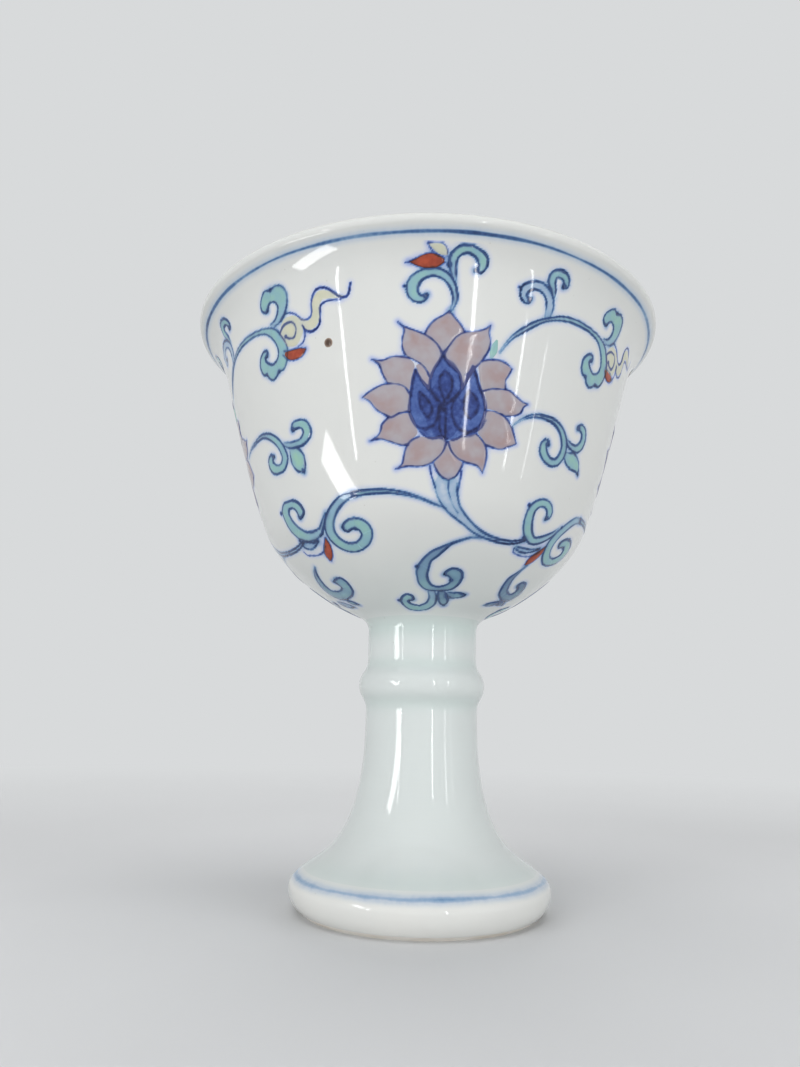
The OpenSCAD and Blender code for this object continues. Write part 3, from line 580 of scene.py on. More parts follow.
# Shapes of the left quarter that differ: its sprout hangs lower, and the sprig under it lies further back
leftShapes = dict(
    lowLeaf=([
        ([(51.4, 14.95), (49.2, 13.75), (46.7, 12.55)], [(51, 15.1), (48.5, 14.05), (46.5, 13.3)]),
        ([(46.7, 12.55), (42.8, 12), (37.6, 12), (33.7, 12.55)],
         [(46.5, 13.3), (42.7, 13.05), (39.3, 13.25), (36.6, 14)]),
        ([(33.7, 12.55), (31.4, 13.8), (30.7, 15.25), (30.8, 16.6)], [(36.6, 14), (35, 15), (34.4, 15.9)]),
        ([(30.8, 16.6), (32.9, 17.35), (36.3, 17.5), (39.4, 17.3), (41.8, 16.5), (42.3, 15.75), (40.8, 15.2),
          (39.4, 15)],
         [(34.4, 15.9), (35.1, 16.4), (36.9, 16.55), (38.5, 16.25), (39.1, 15.7),
          (38.9, 15.2)])], 0.42, "leaf"),
    lowLeaflet=([
        ([(33.6, 12.1), (36.7, 11.9), (39.8, 11.65), (42.9, 11.75)],
         [(33.3, 12), (33.5, 11.3), (36.4, 10.85), (40.2, 11.1), (43, 11.65)])], 0.5, "blue"),
    gapSprig=([
        ([(30.4, 8.35), (26.2, 7.5), (21.5, 6.3), (17.4, 4.65)],
         [(31.1, 8.3), (27.8, 7.4), (25.8, 6.5), (23.7, 5.15)]),
        ([(17.4, 4.65), (17.2, 3.3), (20.7, 2.25), (28.2, 1.9)], [(23.7, 5.15), (24.2, 4.15), (28.7, 3.7)]),
        ([(28.2, 1.9), (37.8, 2.55), (41.5, 3.3), (42.8, 4.15)], [(28.7, 3.7), (33.5, 3.8), (35.7, 4.1)]),
        ([(42.8, 4.15), (42.8, 5.2), (41.3, 5.8), (37.1, 5.7), (34, 5.4)],
         [(35.7, 4.1), (35.7, 4.6), (35.1, 5.05), (34.3, 5.3)])], 0.8, "leaf"),
    gapTip=([
        ([(26.5, 1.85), (30.6, 1.2), (32.4, 0.45)],
         [(24.6, 1.55), (26.5, 0.75), (31.1, 0.35)])], 0.9, "leaf"),
    gapLeaf=([
        ([(12.2, 2.05), (18, 1.55), (21.5, 0.75), (22.9, 0.15)],
         [(11, 1.8), (10.5, 1.1), (13.4, 0.35), (21.8, 0.05)])], 0.9, "blue"),
    sprout=([
        (14, 25.6, 0.05), (19, 26.15, 0.09), (24.6, 26.4, 0.16), (28.2, 26.55, 0.2), (31.5, 26.4, 0.27),
        (34.6, 25.85, 0.4), (37.3, 24.9, 0.47), (38.9, 23.8, 0.5), (39.3, 22.7, 0.55), (37.7, 21.85, 0.5),
        (34.8, 21.7, 0.52), (32.2, 22.2, 0.68), (31.6, 22.9, 0.6), (32.6, 23.4, 0.4),
        (34.2, 23.4, 0.12)], 0.4, "leaf"),
    sproutCurl=([
        (40, 24.4, 0.2), (42.5, 24, 0.35), (45.3, 23.88, 0.38), (48.1, 24.1, 0.46), (50, 24.9, 0.62),
        (49.5, 25.8, 0.58), (47.6, 26.15, 0.46), (45.6, 26.05, 0.42), (44.6, 25.6, 0.16)], 0.36, "leaf"),
    sproutDrop=([
        (42.6, 23.5, 0.3), (43.8, 22.8, 0.95), (44.7, 22, 1.15), (45.4, 21.2, 0.9), (46, 20.7, 0.5),
        (46.3, 20.35, 0.06)], 0.2, "leaf"),
)
buds = dict(
    topBud=[
        (-9.5, 42.55, 0.05), (-7.9, 42.52, 0.42), (-6.4, 42.58, 0.72), (-4.9, 42.62, 0.84),
        (-3.4, 42.65, 0.66), (-2, 42.7, 0.2)],
    ribbonBud=[
        (47.8, 34.95, 0.25), (49.6, 34.5, 0.55), (52, 34.35, 0.62), (54, 34.45, 0.42), (55.1, 34.6, 0.08)],
    lowBud=[(44.9, 11.9, 0.08), (44.2, 11, 0.45), (42.8, 10.1, 0.62), (41.6, 9.3, 0.5), (40.9, 8.7, 0.12)],
)
# The front quarter's bud under the ribbon sits higher
frontBuds = dict(
    ribbonBud=[
        (48.4, 35.75, 0.2), (49.8, 35.4, 0.5), (51.6, 35.2, 0.58), (53.2, 35.25, 0.4), (54.2, 35.35, 0.08)],
)
ribbons = dict(
    topYellow=[
        (-5.5, 44.45, 0.05), (-4.2, 44.2, 0.36), (-3, 43.95, 0.55), (-2.1, 43.65, 0.46), (-1.4, 43.3, 0.1)],
    ribbonDisc=[(47.4, 37.3, 0.2), (48.6, 37.3, 1.3), (51, 37.2, 1.8), (53.4, 37, 1.5), (55, 36.9, 0.3)],
    ribbonTail=[
        (53.6, 38.3, 0.35), (55.2, 37.75, 0.4), (57, 37.2, 0.62), (58.7, 37.65, 0.62), (59.3, 38.6, 0.58),
        (59.6, 39.6, 0.62), (60.8, 40.2, 0.58), (63, 40.1, 0.46), (65, 39.8, 0.3), (66.8, 39.6, 0.06)],
)
# Plain brush lines: half width and strength, then the points
lines = [
    (0.16, 0.95, [(-2.2, 26.3), (-2, 24.9), (-1.7, 23.8), (-0.9, 23.1), (0.1, 22.3)]),
    (0.16, 0.95, [(-0.5, 26.6), (-0.4, 25), (-0.2, 23.1)]),
    (0.13, 0.85, [(-7, 23.6), (-5.4, 23), (-3.3, 22.8), (-1.4, 23.2)]),
    (0.13, 0.85, [(0.2, 22.8), (2.1, 22.75), (4.2, 23.25), (6.9, 23.7), (9, 24.3), (10.4, 25.3)]),
    (0.13, 0.75, [(29.7, 10.7), (30.2, 10.2), (32.4, 9.95), (36.4, 9.8), (40.7, 10.2), (43.2, 10.9)]),
    (0.13, 0.8, [(-10.2, 31.95), (-8.6, 31.7), (-7.2, 31.3), (-5.7, 30.6), (-4.9, 29.9)]),
    (0.13, 0.8, [(8.5, 32.2), (7.1, 31.4), (5.4, 30.6), (4, 30.1)]),
    (0.13, 0.8, [(-4.2, 19.7), (-3.8, 18.8), (-3.1, 17.9), (-2.5, 17.3)]),
    (0.13, 0.8, [(4.8, 19.3), (4.6, 18.2), (4.3, 17.4), (4.1, 16.9)]),
    (0.1, 0.6, [(1.3, 18.1), (1.4, 17), (2.2, 16), (3.4, 15.1), (5, 14.4)]),
    (0.17, 0.92, [(49.4, 36.8), (50.5, 36.4), (52, 36.35), (52.8, 36.9), (52.9, 37.6), (52.1, 38.15),
                  (50.6, 38.3), (48.9, 38.05), (47.6, 37.5)]),
    (0.15, 0.86, [(48.5, 38.9), (49.5, 39.3), (50.5, 39.45), (52.5, 39.2), (54, 38.6), (55, 38.1),
                  (56.5, 37.95), (57.7, 38.2), (58.2, 38.8), (58.3, 39.6), (59, 40.5), (60, 41), (61.5, 41.1),
                  (63, 40.8), (64.5, 40.2), (66, 39.6), (67.5, 39.5), (68.8, 40.9)]),
    (0.15, 0.86, [(55, 37.4), (55.7, 36.8), (57, 36.45), (58.5, 36.5), (59.7, 36.9), (60.2, 37.7),
                  (60.4, 38.5), (60.7, 39.1), (62, 39.4), (64, 39.4), (66, 39.3)]),
    (0.13, 0.75, [(55.3, 37.2), (55.4, 36.3), (54.6, 35.5), (52.8, 35.15)]),
    (0.1, 0.7, [(-10.4, 42.5), (-9.2, 42.6), (-8.2, 42.9)]),
    (0.12, 0.8, [(-5.6, 44.5), (-4.7, 43.75), (-3.5, 43.25), (-2.4, 43.05)]),
    (0.1, 0.7, [(-5.6, 44.5), (-4, 44.6), (-2.5, 44.48), (-1.6, 43.9), (-1.3, 43.2)]),
]
# Drops of colour where the brush was set down: degrees, millimetres, radius
dots = [(-0.9, 42.3, 0.34), (-10.7, 39.95, 0.2), (15.5, 40.85, 0.18), (45.1, 33.05, 0.26), (40.1, 33.4, 0.22),
        (47.2, 42.85, 0.26), (28.6, 16.4, 0.28), (-8.4, 6.9, 0.28), (10.6, 1.5, 0.3), (-21.4, 0.6, 0.32),
        (49.4, 36.8, 0.24), (31.3, 12.3, 0.24), (-38.6, 14.9, 0.2), (-0.4, 37.1, 0.2), (-1.6, 32.4, 0.3),
        (-1.5, 26.2, 0.5), (-29.3, 12.65, 0.26), (8, 4.8, 0.28)]

# How far each quarter's scrolls drift from the front one, in degrees: free brushwork never repeats exactly
drift = {0: dict(upper=0.0, sprout=0.0, low=0.0, back=0.0, gap=0.0, bottom=0.0, blossom=0.0),
         1: dict(upper=0.6, sprout=-0.8, low=0.5, back=-3.7, gap=-6.0, bottom=1.5, blossom=0.6),
         2: dict(upper=-0.8, sprout=1.2, low=-0.6, back=-1.5, gap=-9.0, bottom=-2.0, blossom=-0.8),
         3: dict(upper=-1.8, sprout=2.6, low=2.2, back=-1.0, gap=-17.0, bottom=-12.0, blossom=-5.0)}


def drifted(line, quarter):  # the line with its own quarter's drift, fading in away from the blossom
    q, d = np.array(line, float), drift[quarter]
    far = np.clip((q[:, 0] - 14) / 18, 0, 1)
    back = np.clip((-q[:, 0] - 12) / 20, 0, 1)
    level = np.interp(q[:, 1], [10, 17, 21, 27, 32, 40],
                      [d[part] for part in ("low", "low", "sprout", "sprout", "upper", "upper")])
    q[:, 0] += (np.abs(q[:, 0]) < 24) * np.clip((9.5 - q[:, 1]) / 3, 0, 1) * d["bottom"]
    q[:, 0] += (far > 0.9) * np.clip((8.7 - q[:, 1]) / 2.2, 0, 1) * d["gap"]
    q[:, 0] += (1 - far) * (1 - back) * d["blossom"]
    q[:, 0] += far * far * (3 - 2 * far) * level + back * back * (3 - 2 * back) * d["back"]
    return q


def evenEdge(points, count):  # a smooth edge with a set number of points
    q = smoothLine(points, 0.05)
    x = np.linspace(0, len(q) - 1, count)
    return np.stack([np.interp(x, np.arange(len(q)), q[:, k]) for k in range(2)], 1)


def leafEdges(points, move):  # both edges of a leaf, drawn or set off from its centre line, after a move
    if isinstance(points[0][0], list):   # points at about 0.13 mm, with a degree taken as 0.47 mm
        length = [max(lengthAlong(np.array(e) * [0.47, 1])[-1] for e in pair) for pair in points]
        count = [max(6, int(x / 0.13)) for x in length]
        return [np.concatenate([evenEdge(move(pair[k]), n) for pair, n in zip(points, count)])
                for k in (0, 1)]
    return bandSides(smoothLine(move(points)))


def middleOf(a, b):  # middle line and half width between two edges
    middle = (a + b) / 2
    return middle, np.maximum(np.hypot((a - b)[:, 0] * degreeWidth(middle[:, 1]), (a - b)[:, 1]) / 2, 0.03)


def leavesOf(quarter):  # every leaf of a quarter: its two edges, middle and half width, wash, fill
    for name, (points, wash, fill) in {**leaves, **(leftShapes if quarter == 3 else {})}.items():
        own = quarter == 3 and name in leftShapes
        a, b = leafEdges(points, np.array if own else lambda line: drifted(line, quarter))
        yield a, b, *middleOf(a, b), wash, fill


def budsOf(quarter):  # the buds of a quarter
    return {**buds, **(frontBuds if quarter == 0 else {})}


# Steps and limits of the painting, edge and bleed of a stroke, then half widths and strengths of the strokes
paint = dict(step=0.155, low=-2.6, high=44.8, turnStep=0.32, soft=0.13, bleed=0.12, spread=0.42,
             washShare=0.42, outline=0.16, outlineInk=0.92, vine=0.24, petal=0.07, petalInk=0.85, heart=0.17,
             bud=0.13, budInk=0.7, end=0.2, endInk=0.9)
rows = np.arange(paint["low"], paint["high"] + 1e-6, paint["step"])
rows[-1] = paint["high"]
columns = np.linspace(-45, 45, int(90 / paint["turnStep"]) + 1)
rowWidth = degreeWidth(rows)
dice = np.random.default_rng(7)


def brush(field, line, half, ink, soft=None, bleed=None, level=False):
    # Ink falls off from a line: full inside the half width, a short soft edge, then a faint bleed that
    # dies away as exp(-(d/spread)^2). It lays over what is there as 1-(1-a)(1-b), or a level wash keeps
    # the stronger of the two.
    soft, bleed = soft or paint["soft"], paint["bleed"] if bleed is None else bleed
    half, ink = np.broadcast_to(half, len(line)), np.broadcast_to(ink, len(line))
    reach = half.max() + 2 * paint["spread"]
    j0, j1 = np.searchsorted(rows, [line[:, 1].min() - reach, line[:, 1].max() + reach])
    if j1 <= j0:
        return
    side = reach / rowWidth[j0:j1].min()
    i0, i1 = np.searchsorted(columns, [line[:, 0].min() - side, line[:, 0].max() + side])
    if i1 <= i0:
        return
    dx = (columns[i0:i1, None, None] - line[None, None, :, 0]) * rowWidth[None, j0:j1, None]
    dy = rows[None, j0:j1, None] - line[None, None, :, 1]
    gap = np.hypot(dx, dy) - half
    k = gap.argmin(-1)
    gap = np.take_along_axis(gap, k[..., None], -1)[..., 0]
    w = np.clip(0.5 - gap / soft, 0, 1)
    value = ink[k] * w * w * (3 - 2 * w)
    fade = np.exp(-(np.maximum(gap, 0) / paint["spread"]) ** 2)
    value = np.maximum(value, bleed * np.minimum(ink[k] / 0.7, 1) * fade)
    there = field[i0:i1, j0:j1]
    field[i0:i1, j0:j1] = np.maximum(there, value) if level else 1 - (1 - there) * (1 - value)


def brushWobble(count):  # slow rise and fall of a loaded brush, about 1
    x, p = np.linspace(0, 1, count), dice.uniform(0, 6.28, 3)
    return 1 + 0.13 * np.sin(5 * x + p[0]) + 0.08 * np.sin(13 * x + p[1]) + 0.05 * np.sin(29 * x + p[2])


def paintUnit(field, leafy, quarter, shift):
    # All cobalt of one blossom and its scrolls, moved by shift degrees on the panel it is laid on
    move, bloom = np.array([shift, 0]), np.array([shift + drift[quarter]["blossom"], 0])
    for sideA, ownA, sideB, ownB in petals:
        for edge, own in ((sideA, ownA), (sideB, ownB)):
            if own:
                q = smoothLine(edge[:own])
                x = np.linspace(0, 1, len(q))
                width = paint["petal"] + paint["petal"] * np.clip(5 * x, 0, 1)
                brush(field, q + bloom, width * brushWobble(len(q)),
                      paint["petalInk"] * brushWobble(len(q)), 0.2)
    for points, wash, edge in hearts:
        middle, half = middleOf(*leafEdges(points, np.array))
        brush(field, middle + bloom, half, wash, 0.3, level=True)
    for points, wash, edge in hearts:
        for side in leafEdges(points, np.array) if edge else ():
            brush(field, side + bloom, paint["heart"] * brushWobble(len(side)), edge, 0.26, 0.05)
    for a, b, middle, half, wash, fill in leavesOf(quarter):
        if fill == "bare":
            continue
        brush(field, middle + move, half, paint["washShare"] * wash * brushWobble(len(middle)), 0.2)
        brush(leafy, middle + move, half + 0.3, 1.0, 0.5, 0.0)   # greener blue, a little past the edges
        x = np.linspace(0, 1, len(middle))
        slim = np.clip(half / paint["vine"], 0.4, 1)   # a thin vine is drawn with the tip of the brush
        load = paint["outlineInk"] * (0.86 + 0.2 * x ** 3) * np.clip(0.55 + 4 * x, 0, 1) * (0.7 + 0.3 * slim)
        for side in (a, b):
            width = paint["outline"] * np.clip(0.5 + 4 * x, 0.75, 1) * (0.55 + 0.45 * slim)
            brush(field, side + move, width * brushWobble(len(side)), load * brushWobble(len(side)))
        brush(field, middle[-3:] + move, paint["end"], paint["endInk"])
    for half, ink, points in lines:
        q = smoothLine(drifted(points, quarter))
        brush(field, q + move, half * brushWobble(len(q)), ink * brushWobble(len(q)))
    for points in budsOf(quarter).values():
        q = smoothLine(drifted(points, quarter))
        for side in bandSides(q):
            brush(field, side + move, paint["bud"], paint["budInk"])
    for a, s, radius in dots:
        q = drifted([(a, s), (a + 0.01, s)], quarter)
        brush(field, q + move, radius, paint["endInk"], 0.24)


# For each quarter the cobalt, and how far leaf green lies over it
fields = np.zeros((4, 2, len(columns), len(rows)))
for quarter in range(4):
    for step in (0, -1, 1):
        paintUnit(fields[quarter, 0], fields[quarter, 1], (quarter + step) % 4, 90 * step)


def paintAt(turn, up):  # the cobalt at a turn and a length up the side, between its four nearest grid points
    quarter = np.floor((turn + 45) / 90).astype(int)
    x = (turn - 90 * quarter + 45) / 90 * (len(columns) - 1)
    y = np.clip((up - rows[0]) / paint["step"], 0, len(rows) - 1.001)
    i, j = np.clip(x.astype(int), 0, len(columns) - 2), y.astype(int)
    a, b, q = x - i, y - j, quarter % 4
    take = lambda di, dj: fields[q, 0, i + di, j + dj]
    return ((1 - a) * (1 - b) * take(0, 0) + a * (1 - b) * take(1, 0)
            + (1 - a) * b * take(0, 1) + a * b * take(1, 1))


# Glaze outside the bowl, in four quarters with the painting held as an attribute
coatMm = 0.2   # depth of a glaze coat
for quarter, label in enumerate(["Front", "Right", "Back", "Left"]):
    panel = turnedCoat("bowlGlaze" + label, *stretchOf(rows), coatMm, columns + 90 * quarter, glazeMaterial,
                       {"cobalt": fields[quarter, 0], "teal": fields[quarter, 1]})
    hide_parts("outer_glaze")
print("bowl glaze painted")

# The rest of the outside: foot edge, foot line, stem, rim line and lip, each a turned coat. A line has its
# height, half width, strength and softness, and its coat reaches as far on both sides of it.
lineShape = dict(foot=(4.35, 0.28, 0.38, 1.0), rim=(76.05, 0.19, 0.66, 0.28))
lineReach = 1.2
footLine = np.interp(lineShape["foot"][0], outsidePath[climb < -20][:, 1], climb[climb < -20])
rimLine = np.interp(lineShape["rim"][0], outsidePath[climb > 40][:, 1], climb[climb > 40])
bands = dict(   # from, to, step, slot and node
    footEdgeGlaze=(climb[0], footLine - lineReach, 0.2, "clear_glaze", "outer_glaze"),
    footCobaltLine=(footLine - lineReach, footLine + lineReach, 0.06, "cobalt_blue", "foot_blue_line"),
    stemGlaze=(footLine + lineReach, paint["low"], 0.25, "clear_glaze", "outer_glaze"),
    rimCobaltLine=(paint["high"], rimLine + lineReach, 0.06, "cobalt_blue", "rim_blue_line"),
    lipGlaze=(rimLine + lineReach, crest, 0.1, "clear_glaze", "outer_glaze"),
)
pools = [(25.6, 1.0, 0.5), (30.6, 0.9, 0.5), (35.4, 1.6, 0.8), (5.4, 1.2, 0.35)]   # height, reach, tone
for name, (low, high, step, slot, node) in bands.items():
    s = np.linspace(low, high, max(6, int((high - low) / step)))
    path, way = stretchOf(s)
    turns = np.linspace(0, 360, 721 if "Line" in name else 361)
    a = np.radians(turns[:-1])[:, None]
    values = {}
    if "Line" in name:   # drawn on the wheel, with a slow waver in its course, width and strength
        half, ink, soft = lineShape["foot" if "foot" in name else "rim"][1:]
        middle = footLine if "foot" in name else rimLine
        wave = 0.1 * np.sin(3 * a + 1) + 0.06 * np.sin(7 * a) + 0.03 * np.sin(19 * a + 2)
        thick = half * (1 + 0.18 * np.sin(5 * a + 2) + 0.12 * np.sin(11 * a) + 0.08 * np.sin(37 * a))
        gap = np.abs(s[None, :] - middle - 0.5 * wave) - thick
        w = np.clip(0.5 - gap / soft, 0, 1)
        load = ink * (1 + 0.12 * np.sin(4 * a + 0.6) + 0.1 * np.sin(9 * a + 1) + 0.06 * np.sin(23 * a))
        values["teal"] = 1.0 + 0 * gap
        bleed = 0.16 * np.exp(-(np.maximum(gap, 0) / 0.5) ** 2)
        values["cobalt"] = np.maximum(load * w * w * (3 - 2 * w), bleed)
    else:   # glaze gathers in the hollows
        values["pool"] = sum(k * np.exp(-((path[:, 1] - z) / w) ** 2) for z, w, k in pools)[None, :] + 0 * a
    ring = turnedCoat(name, path, way, coatMm, turns, glazeMaterial, values)
    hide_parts(node)
innerGlaze = turnedBowl("bowlInnerGlaze", insidePath, squareTo(insidePath), coatMm, 256, glazeMaterial)
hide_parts("bowl_inner_glaze")
upHollow = hollowPath[::-1]
hollowGlaze = turnedBowl("stemInnerGlaze", upHollow, -squareTo(upHollow), coatMm, 128, glazeMaterial, True)
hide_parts("stem_inner_glaze")
print("stem, lines and lip glazed")

# Enamels: thin raised patches. In millimetres: height, half width that has the full height, half width
# where a leaf's enamel starts, inset, depth of the back and lift of the edges. In points: across a leaf,
# across a petal, underneath, along a petal and along a short leaf. Leaves have a share of the height.
enamelShape = dict(height=0.07, full=0.3, least=0.17, inset=0.02, sink=0.03, lift=0.006,
                   across=11, wide=27, under=3, along=44, short=40, leafShare=0.8)


def enamelPatch(sideA, sideB, turn, height, inset, thinEnds, across):
    # A loft between two edges: drawn in by the inset, raised as height*(1-v^4) with v from -1 to 1 across,
    # and rounded off at both ends, on a back sunk a little into the glaze. The closed loop of both runs
    # along the patch.
    mid, gap = (sideA + sideB) / 2, (sideA - sideB) / 2
    wide = np.hypot(gap[:, 0] * degreeWidth(mid[:, 1]), gap[:, 1])
    gap = gap * np.clip(1 - inset / np.maximum(wide, 1e-6), 0.04, 1)[:, None]
    along = len(mid)
    v = np.linspace(-1, 1, across)
    v = 0.5 * v + 0.5 * np.sin(v * math.pi / 2)
    back = np.linspace(1, -1, enamelShape["under"])
    u = np.linspace(0, 1, along)
    ends = np.clip(np.minimum(u, 1 - u) * 9, 0, 1) ** 0.5
    flat = mid[:, None, :] + v[None, :, None] * gap[:, None, :]
    rise = height * (1 - v[None, :] ** 4) * ends[:, None]
    rise = rise * np.clip(wide / enamelShape["full"], 0.35, 1)[:, None] + enamelShape["lift"]
    r, z = onOutside(flat[..., 1], rise)
    top = aroundCup(flat[..., 0] + turn, r, z)
    low = mid[:, None, :] + back[None, :, None] * gap[:, None, :]
    r, z = onOutside(low[..., 1], -enamelShape["sink"])
    points = np.concatenate([top, aroundCup(low[..., 0] + turn, r, z)], 1)
    loop = len(v) + len(back)
    faces = sheetFaces(along, loop, False, True)
    caps = np.stack([np.arange(loop)[::-1], (along - 1) * loop + np.arange(loop)])
    solid = points.reshape(-1, 3) - points.mean((0, 1))
    corner = [solid[faces[:, k]] for k in range(4)]
    if (corner[0] * (np.cross(corner[1], corner[2]) + np.cross(corner[2], corner[3]))).sum() < 0:
        faces, caps = faces[:, ::-1], caps[:, ::-1]   # a patch that came inside out is turned
    place = np.concatenate([flat, low], 1)
    cobalt = paintAt(place[..., 0] + turn, place[..., 1])
    thin = np.clip(thinEnds(u), 0, 1)[:, None] + 0 * cobalt
    uv = np.stack([0 * cobalt + u[:, None], 0 * cobalt + np.linspace(0, 1, loop)[None, :]], -1)
    return points.reshape(-1, 3), faces, caps, uv.reshape(-1, 2), cobalt.ravel(), thin.ravel()


def gatherEnamel(name, patches, material, node):  # many patches in one mesh
    points, quads, caps, uv, ink, thin = zip(*patches)
    start = np.r_[0, np.cumsum([len(p) for p in points])]
    quads, caps = [np.concatenate([f + k for f, k in zip(group, start)]) for group in (quads, caps)]
    piece = newMesh(name, np.concatenate(points), [quads, caps], np.concatenate(uv), material, None,
                    {"cobalt": np.concatenate(ink), "thin": np.concatenate(thin)})
    print(name, len(patches), "patches", 2 * len(quads) + caps.size - 2 * len(caps), "triangles")
    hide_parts(node)


# How thin a patch is along its stroke
thinning = dict(petal=lambda u: 0.8 * u ** 2, drop=lambda u: 0.8 * np.abs(2 * u - 1) ** 3,
                leaf=lambda u: 0.9 * (1 - u * 2.6),
                shortLeaf=lambda u: 0.5 * (1 - u * 3) + 0.6 * np.clip(u * 4 - 3, 0, 1))
patches = dict(petal=[], leaf=[], bud=[], ribbon=[])
tall, inset, wide = enamelShape["height"], enamelShape["inset"], enamelShape["wide"]
for quarter in range(4):
    turn = 90 * quarter
    for sideA, ownA, sideB, ownB in petals:
        a, b = evenEdge(sideA, enamelShape["along"]), evenEdge(sideB, enamelShape["along"])
        bloomTurn = turn + drift[quarter]["blossom"]
        patches["petal"].append(enamelPatch(b, a, bloomTurn, tall, inset, thinning["petal"], wide))
    for a, b, middle, half, wash, fill in leavesOf(quarter):
        if fill == "blue":
            continue
        body = half > (enamelShape["least"] if fill == "leaf" else 0)
        ends = thinning["leaf" if body.sum() > enamelShape["short"] else "shortLeaf"]
        patches["leaf"].append(enamelPatch(b[body], a[body], turn, tall * enamelShape["leafShare"], 0.0, ends,
                                           enamelShape["across"]))
    for kind, group in (("bud", budsOf(quarter)), ("ribbon", ribbons)):
        for points in group.values():
            sideA, sideB = bandSides(smoothLine(drifted(points, quarter), 0.11))
            patches[kind].append(enamelPatch(sideB, sideA, turn, tall, inset, thinning["drop"], wide))
gatherEnamel("petalEnamel", patches["petal"], enamelMaterials["petal"], "blossom_enamel")
gatherEnamel("leafEnamel", patches["leaf"], enamelMaterials["leaf"], "leaf_enamel")
gatherEnamel("budEnamel", patches["bud"], enamelMaterials["bud"], "bud_enamel")
gatherEnamel("ribbonEnamel", patches["ribbon"], enamelMaterials["ribbon"], "ribbon_enamel")

# One burnt spot of iron on the front, a low dome: rings of shrinking radius, lifted as 1-(r/R)^2
spot = dict(turn=-30.0, up=34.65, radius=0.55, height=0.06, lift=0.004, sink=0.05)
ringShare = np.linspace(1, 0.02, 9)
a = np.linspace(0, 2 * math.pi, 33)[:-1]
up = spot["up"] + spot["radius"] * ringShare[None, :] * np.sin(a)[:, None]
turn = spot["turn"] + spot["radius"] * ringShare[None, :] * np.cos(a)[:, None] / degreeWidth(spot["up"])
r, z = onOutside(up, spot["height"] * (1 - ringShare[None, :] ** 2) + spot["lift"])
top = aroundCup(turn, r, z)
r, z = onOutside(up[:, :1], -spot["sink"])
points = np.concatenate([aroundCup(turn[:, :1], r, z), top], 1)
rings = points.shape[1]
quads = sheetFaces(len(a), rings, True)
caps = [np.arange(len(a))[None, ::-1] * rings, np.arange(len(a))[None, :] * rings + rings - 1]
edge = np.tile(np.r_[1.0, 0.9 * ringShare ** 4], (len(a), 1))
ironSpot = newMesh("ironSpot", points.reshape(-1, 3), [quads] + caps, np.zeros((points.size // 3, 2)),
                   spotMaterial, None, {"thin": edge.ravel()})
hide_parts("outer_glaze")

for node in ("bowl_body", "stem_body", "luting_slip", "joint_fillet"):
    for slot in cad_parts[node].material_slots:
        slot.material = clayMaterial

# Floor with a round cove behind, so the ground runs up without a line
studio = dict(floorR=0.55, coveR=0.5, wallH=1.6, grey="#dadbdc", paler="#dedfe0", wall="#d8dadb",
              cloudMm=1000 / 12, fade=(0.05, 0.3), roughness=0.9)
floorMaterial, t, shader, own = newMaterial("paleStudioFloor", {"Roughness": studio["roughness"]},
                                            cloud=(studio["cloudMm"], 3.0))
dress(t, shader, layered(t, studio["paler"], (own["cloud"], 0.3, 0.7, 1.0, studio["grey"])))
# Seen straight on or mirrored, the floor fades into an even tone away from the cup
reach = addNode(t, "ShaderNodeVectorMath", {0: own["place"]}, operation="LENGTH").outputs["Value"]
far = addNode(t, "ShaderNodeMapRange", {"Value": reach, "From Min": studio["fade"][0],
                                        "From Max": studio["fade"][1]}, interpolation_type="SMOOTHSTEP")
ray = addNode(t, "ShaderNodeLightPath").outputs
seen = addNode(t, "ShaderNodeMath", {0: ray["Is Camera Ray"], 1: ray["Is Glossy Ray"]}, operation="MAXIMUM")
seen = addNode(t, "ShaderNodeMath", {0: seen.outputs[0], 1: ray["Is Transmission Ray"]}, operation="MAXIMUM")
amount = addNode(t, "ShaderNodeMath", {0: seen.outputs[0], 1: far.outputs[0]}, operation="MULTIPLY")
pale = addNode(t, "ShaderNodeEmission", {"Color": studio["wall"]})
both = addNode(t, "ShaderNodeMixShader", {0: amount.outputs[0], 1: shader.outputs[0], 2: pale.outputs[0]})
t.links.new(both.outputs[0], t.nodes["Material Output"].inputs["Surface"])
a = np.linspace(0, math.pi / 2, 24)
flatR, coveR = studio["floorR"], studio["coveR"]
sweepR = np.r_[np.linspace(0.002, flatR, 12), flatR + coveR * np.sin(a[1:]), flatR + coveR]
sweepZ = np.r_[np.zeros(12), coveR * (1 - np.cos(a[1:])), studio["wallH"]]
turns = np.linspace(0, 360, 97)[:-1]
grid = aroundCup(turns[:, None], sweepR[None, :] / mm, sweepZ[None, :] / mm)
floorFaces = sheetFaces(len(turns), len(sweepR), True)
cap = (np.arange(len(turns)) * len(sweepR))[None, :]
uv = np.stack([grid[..., 0], grid[..., 1]], -1).reshape(-1, 2) * mm
floor = newMesh("studioFloor", grid.reshape(-1, 3), [floorFaces, cap], uv, floorMaterial)

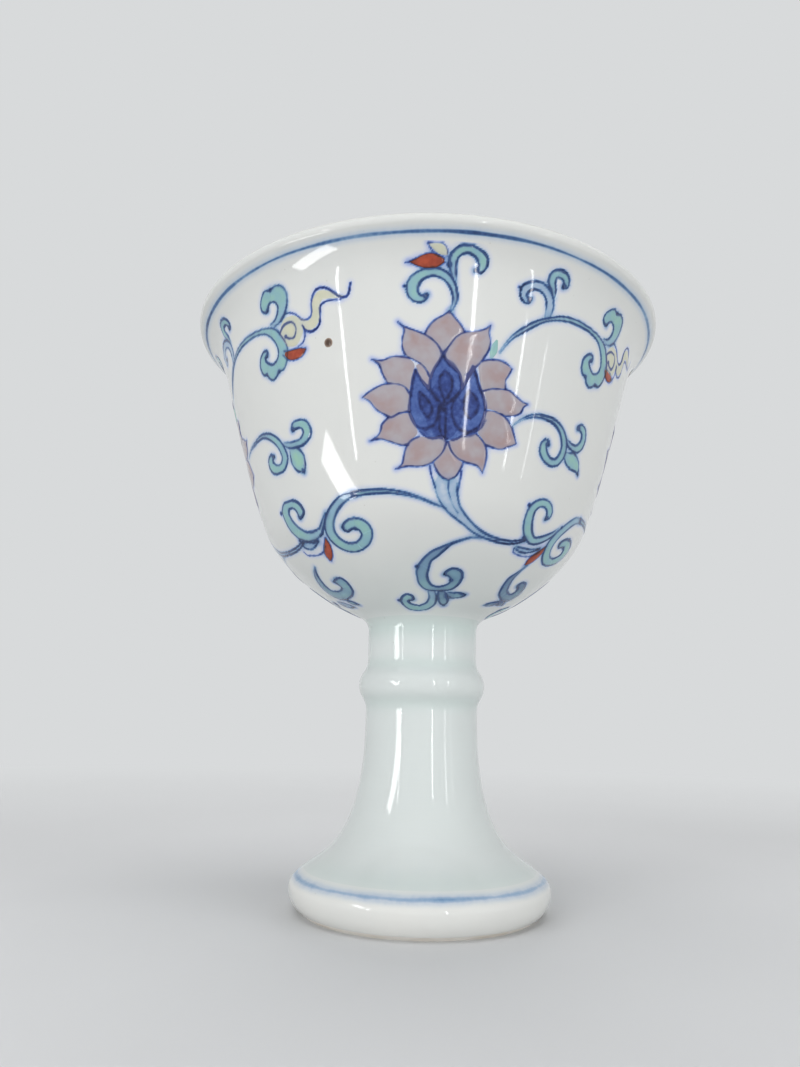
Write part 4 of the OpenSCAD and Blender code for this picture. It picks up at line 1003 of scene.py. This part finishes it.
# Camera at the photograph's place: pitch, roll and turn in degrees, the foot's centre in camera millimetres
shot = dict(pitch=13.28, roll=1.11, turn=-4.0, footAt=(2.41, -47.98, -99.73), lens=26.32)
turnTo = (Matrix.Rotation(math.radians(shot["turn"]), 4, "Z")
          @ Matrix.Rotation(math.radians(90 + shot["pitch"]), 4, "X")
          @ Matrix.Rotation(math.radians(shot["roll"]), 4, "Z"))
camData = bpy.data.cameras.new("shotCamera")
camData.sensor_fit, camData.sensor_height, camData.sensor_width = "VERTICAL", 36.0, 36.0
camData.lens = shot["lens"]
camData.clip_start, camData.clip_end = 0.005, 10.0
camera = bpy.data.objects.new("shotCamera", camData)
camera.matrix_world = Matrix.Translation(-(turnTo.to_3x3() @ Vector(shot["footAt"])) * mm) @ turnTo
bpy.context.scene.collection.objects.link(camera)
bpy.context.scene.camera = camera

# Lamps: turn from the camera's side, distance and height in millimetres, size in metres, watts, height aimed
# at and roll. The soft ones light the cup without mirroring in it, the streaks only mirror.
softLamps = dict(
    softKey=(-42, 620, 280, (0.5, 0.5), 1.9, 45, 0), softFill=(60, 700, 220, (0.6, 0.6), 2.0, 45, 0),
    softLow=(4, 600, 40, (0.6, 0.08), 0.68, 40, 0), softTop=(0, 60, 760, (0.5, 0.5), 1.4, 0, 0),
    softBack=(178, 700, 300, (0.6, 0.6), 1.7, 45, 0),
)
streaks = dict(
    leftStrip=(-42, 170, 42, (0.0032, 0.06), 0.0085, 42, 0),
    frontStrip=(20, 170, 42, (0.0045, 0.06), 0.0125, 42, 0),
    rightStrip=(46, 170, 42, (0.0026, 0.06), 0.006, 42, 0),
    farStrip=(59, 170, 42, (0.0016, 0.06), 0.002, 42, 0),
    leftPanel=(-50, 80, 33, (0.03, 0.012), 0.009, 45, -52),
)
for name, (turn, reach, z, size, watts, aim, roll) in {**softLamps, **streaks}.items():
    data = bpy.data.lights.new(name, "AREA")
    data.shape, data.size, data.size_y, data.energy = "RECTANGLE", *size, watts
    lamp = bpy.data.objects.new(name, data)
    at = Vector(aroundCup(turn + shot["turn"], reach, z)) * mm
    look = (at - Vector((0, 0, aim * mm))).to_track_quat("Z", "Y").to_matrix().to_4x4()
    lamp.matrix_world = Matrix.Translation(at) @ look @ Matrix.Rotation(math.radians(roll), 4, "Z")
    lamp.visible_camera, lamp.visible_diffuse, lamp.visible_glossy = False, name in softLamps, name in streaks
    bpy.context.scene.collection.objects.link(lamp)

room = dict(colour="#f7f7f6", strength=0.38)
world = bpy.data.worlds.new("softRoom")
bpy.context.scene.world = world
world.use_nodes = True
light = world.node_tree.nodes["Background"].inputs
light["Color"].default_value, light["Strength"].default_value = linear(room["colour"]), room["strength"]
bpy.context.scene.view_settings.view_transform = "Standard"
print("camera, lamps and floor set")
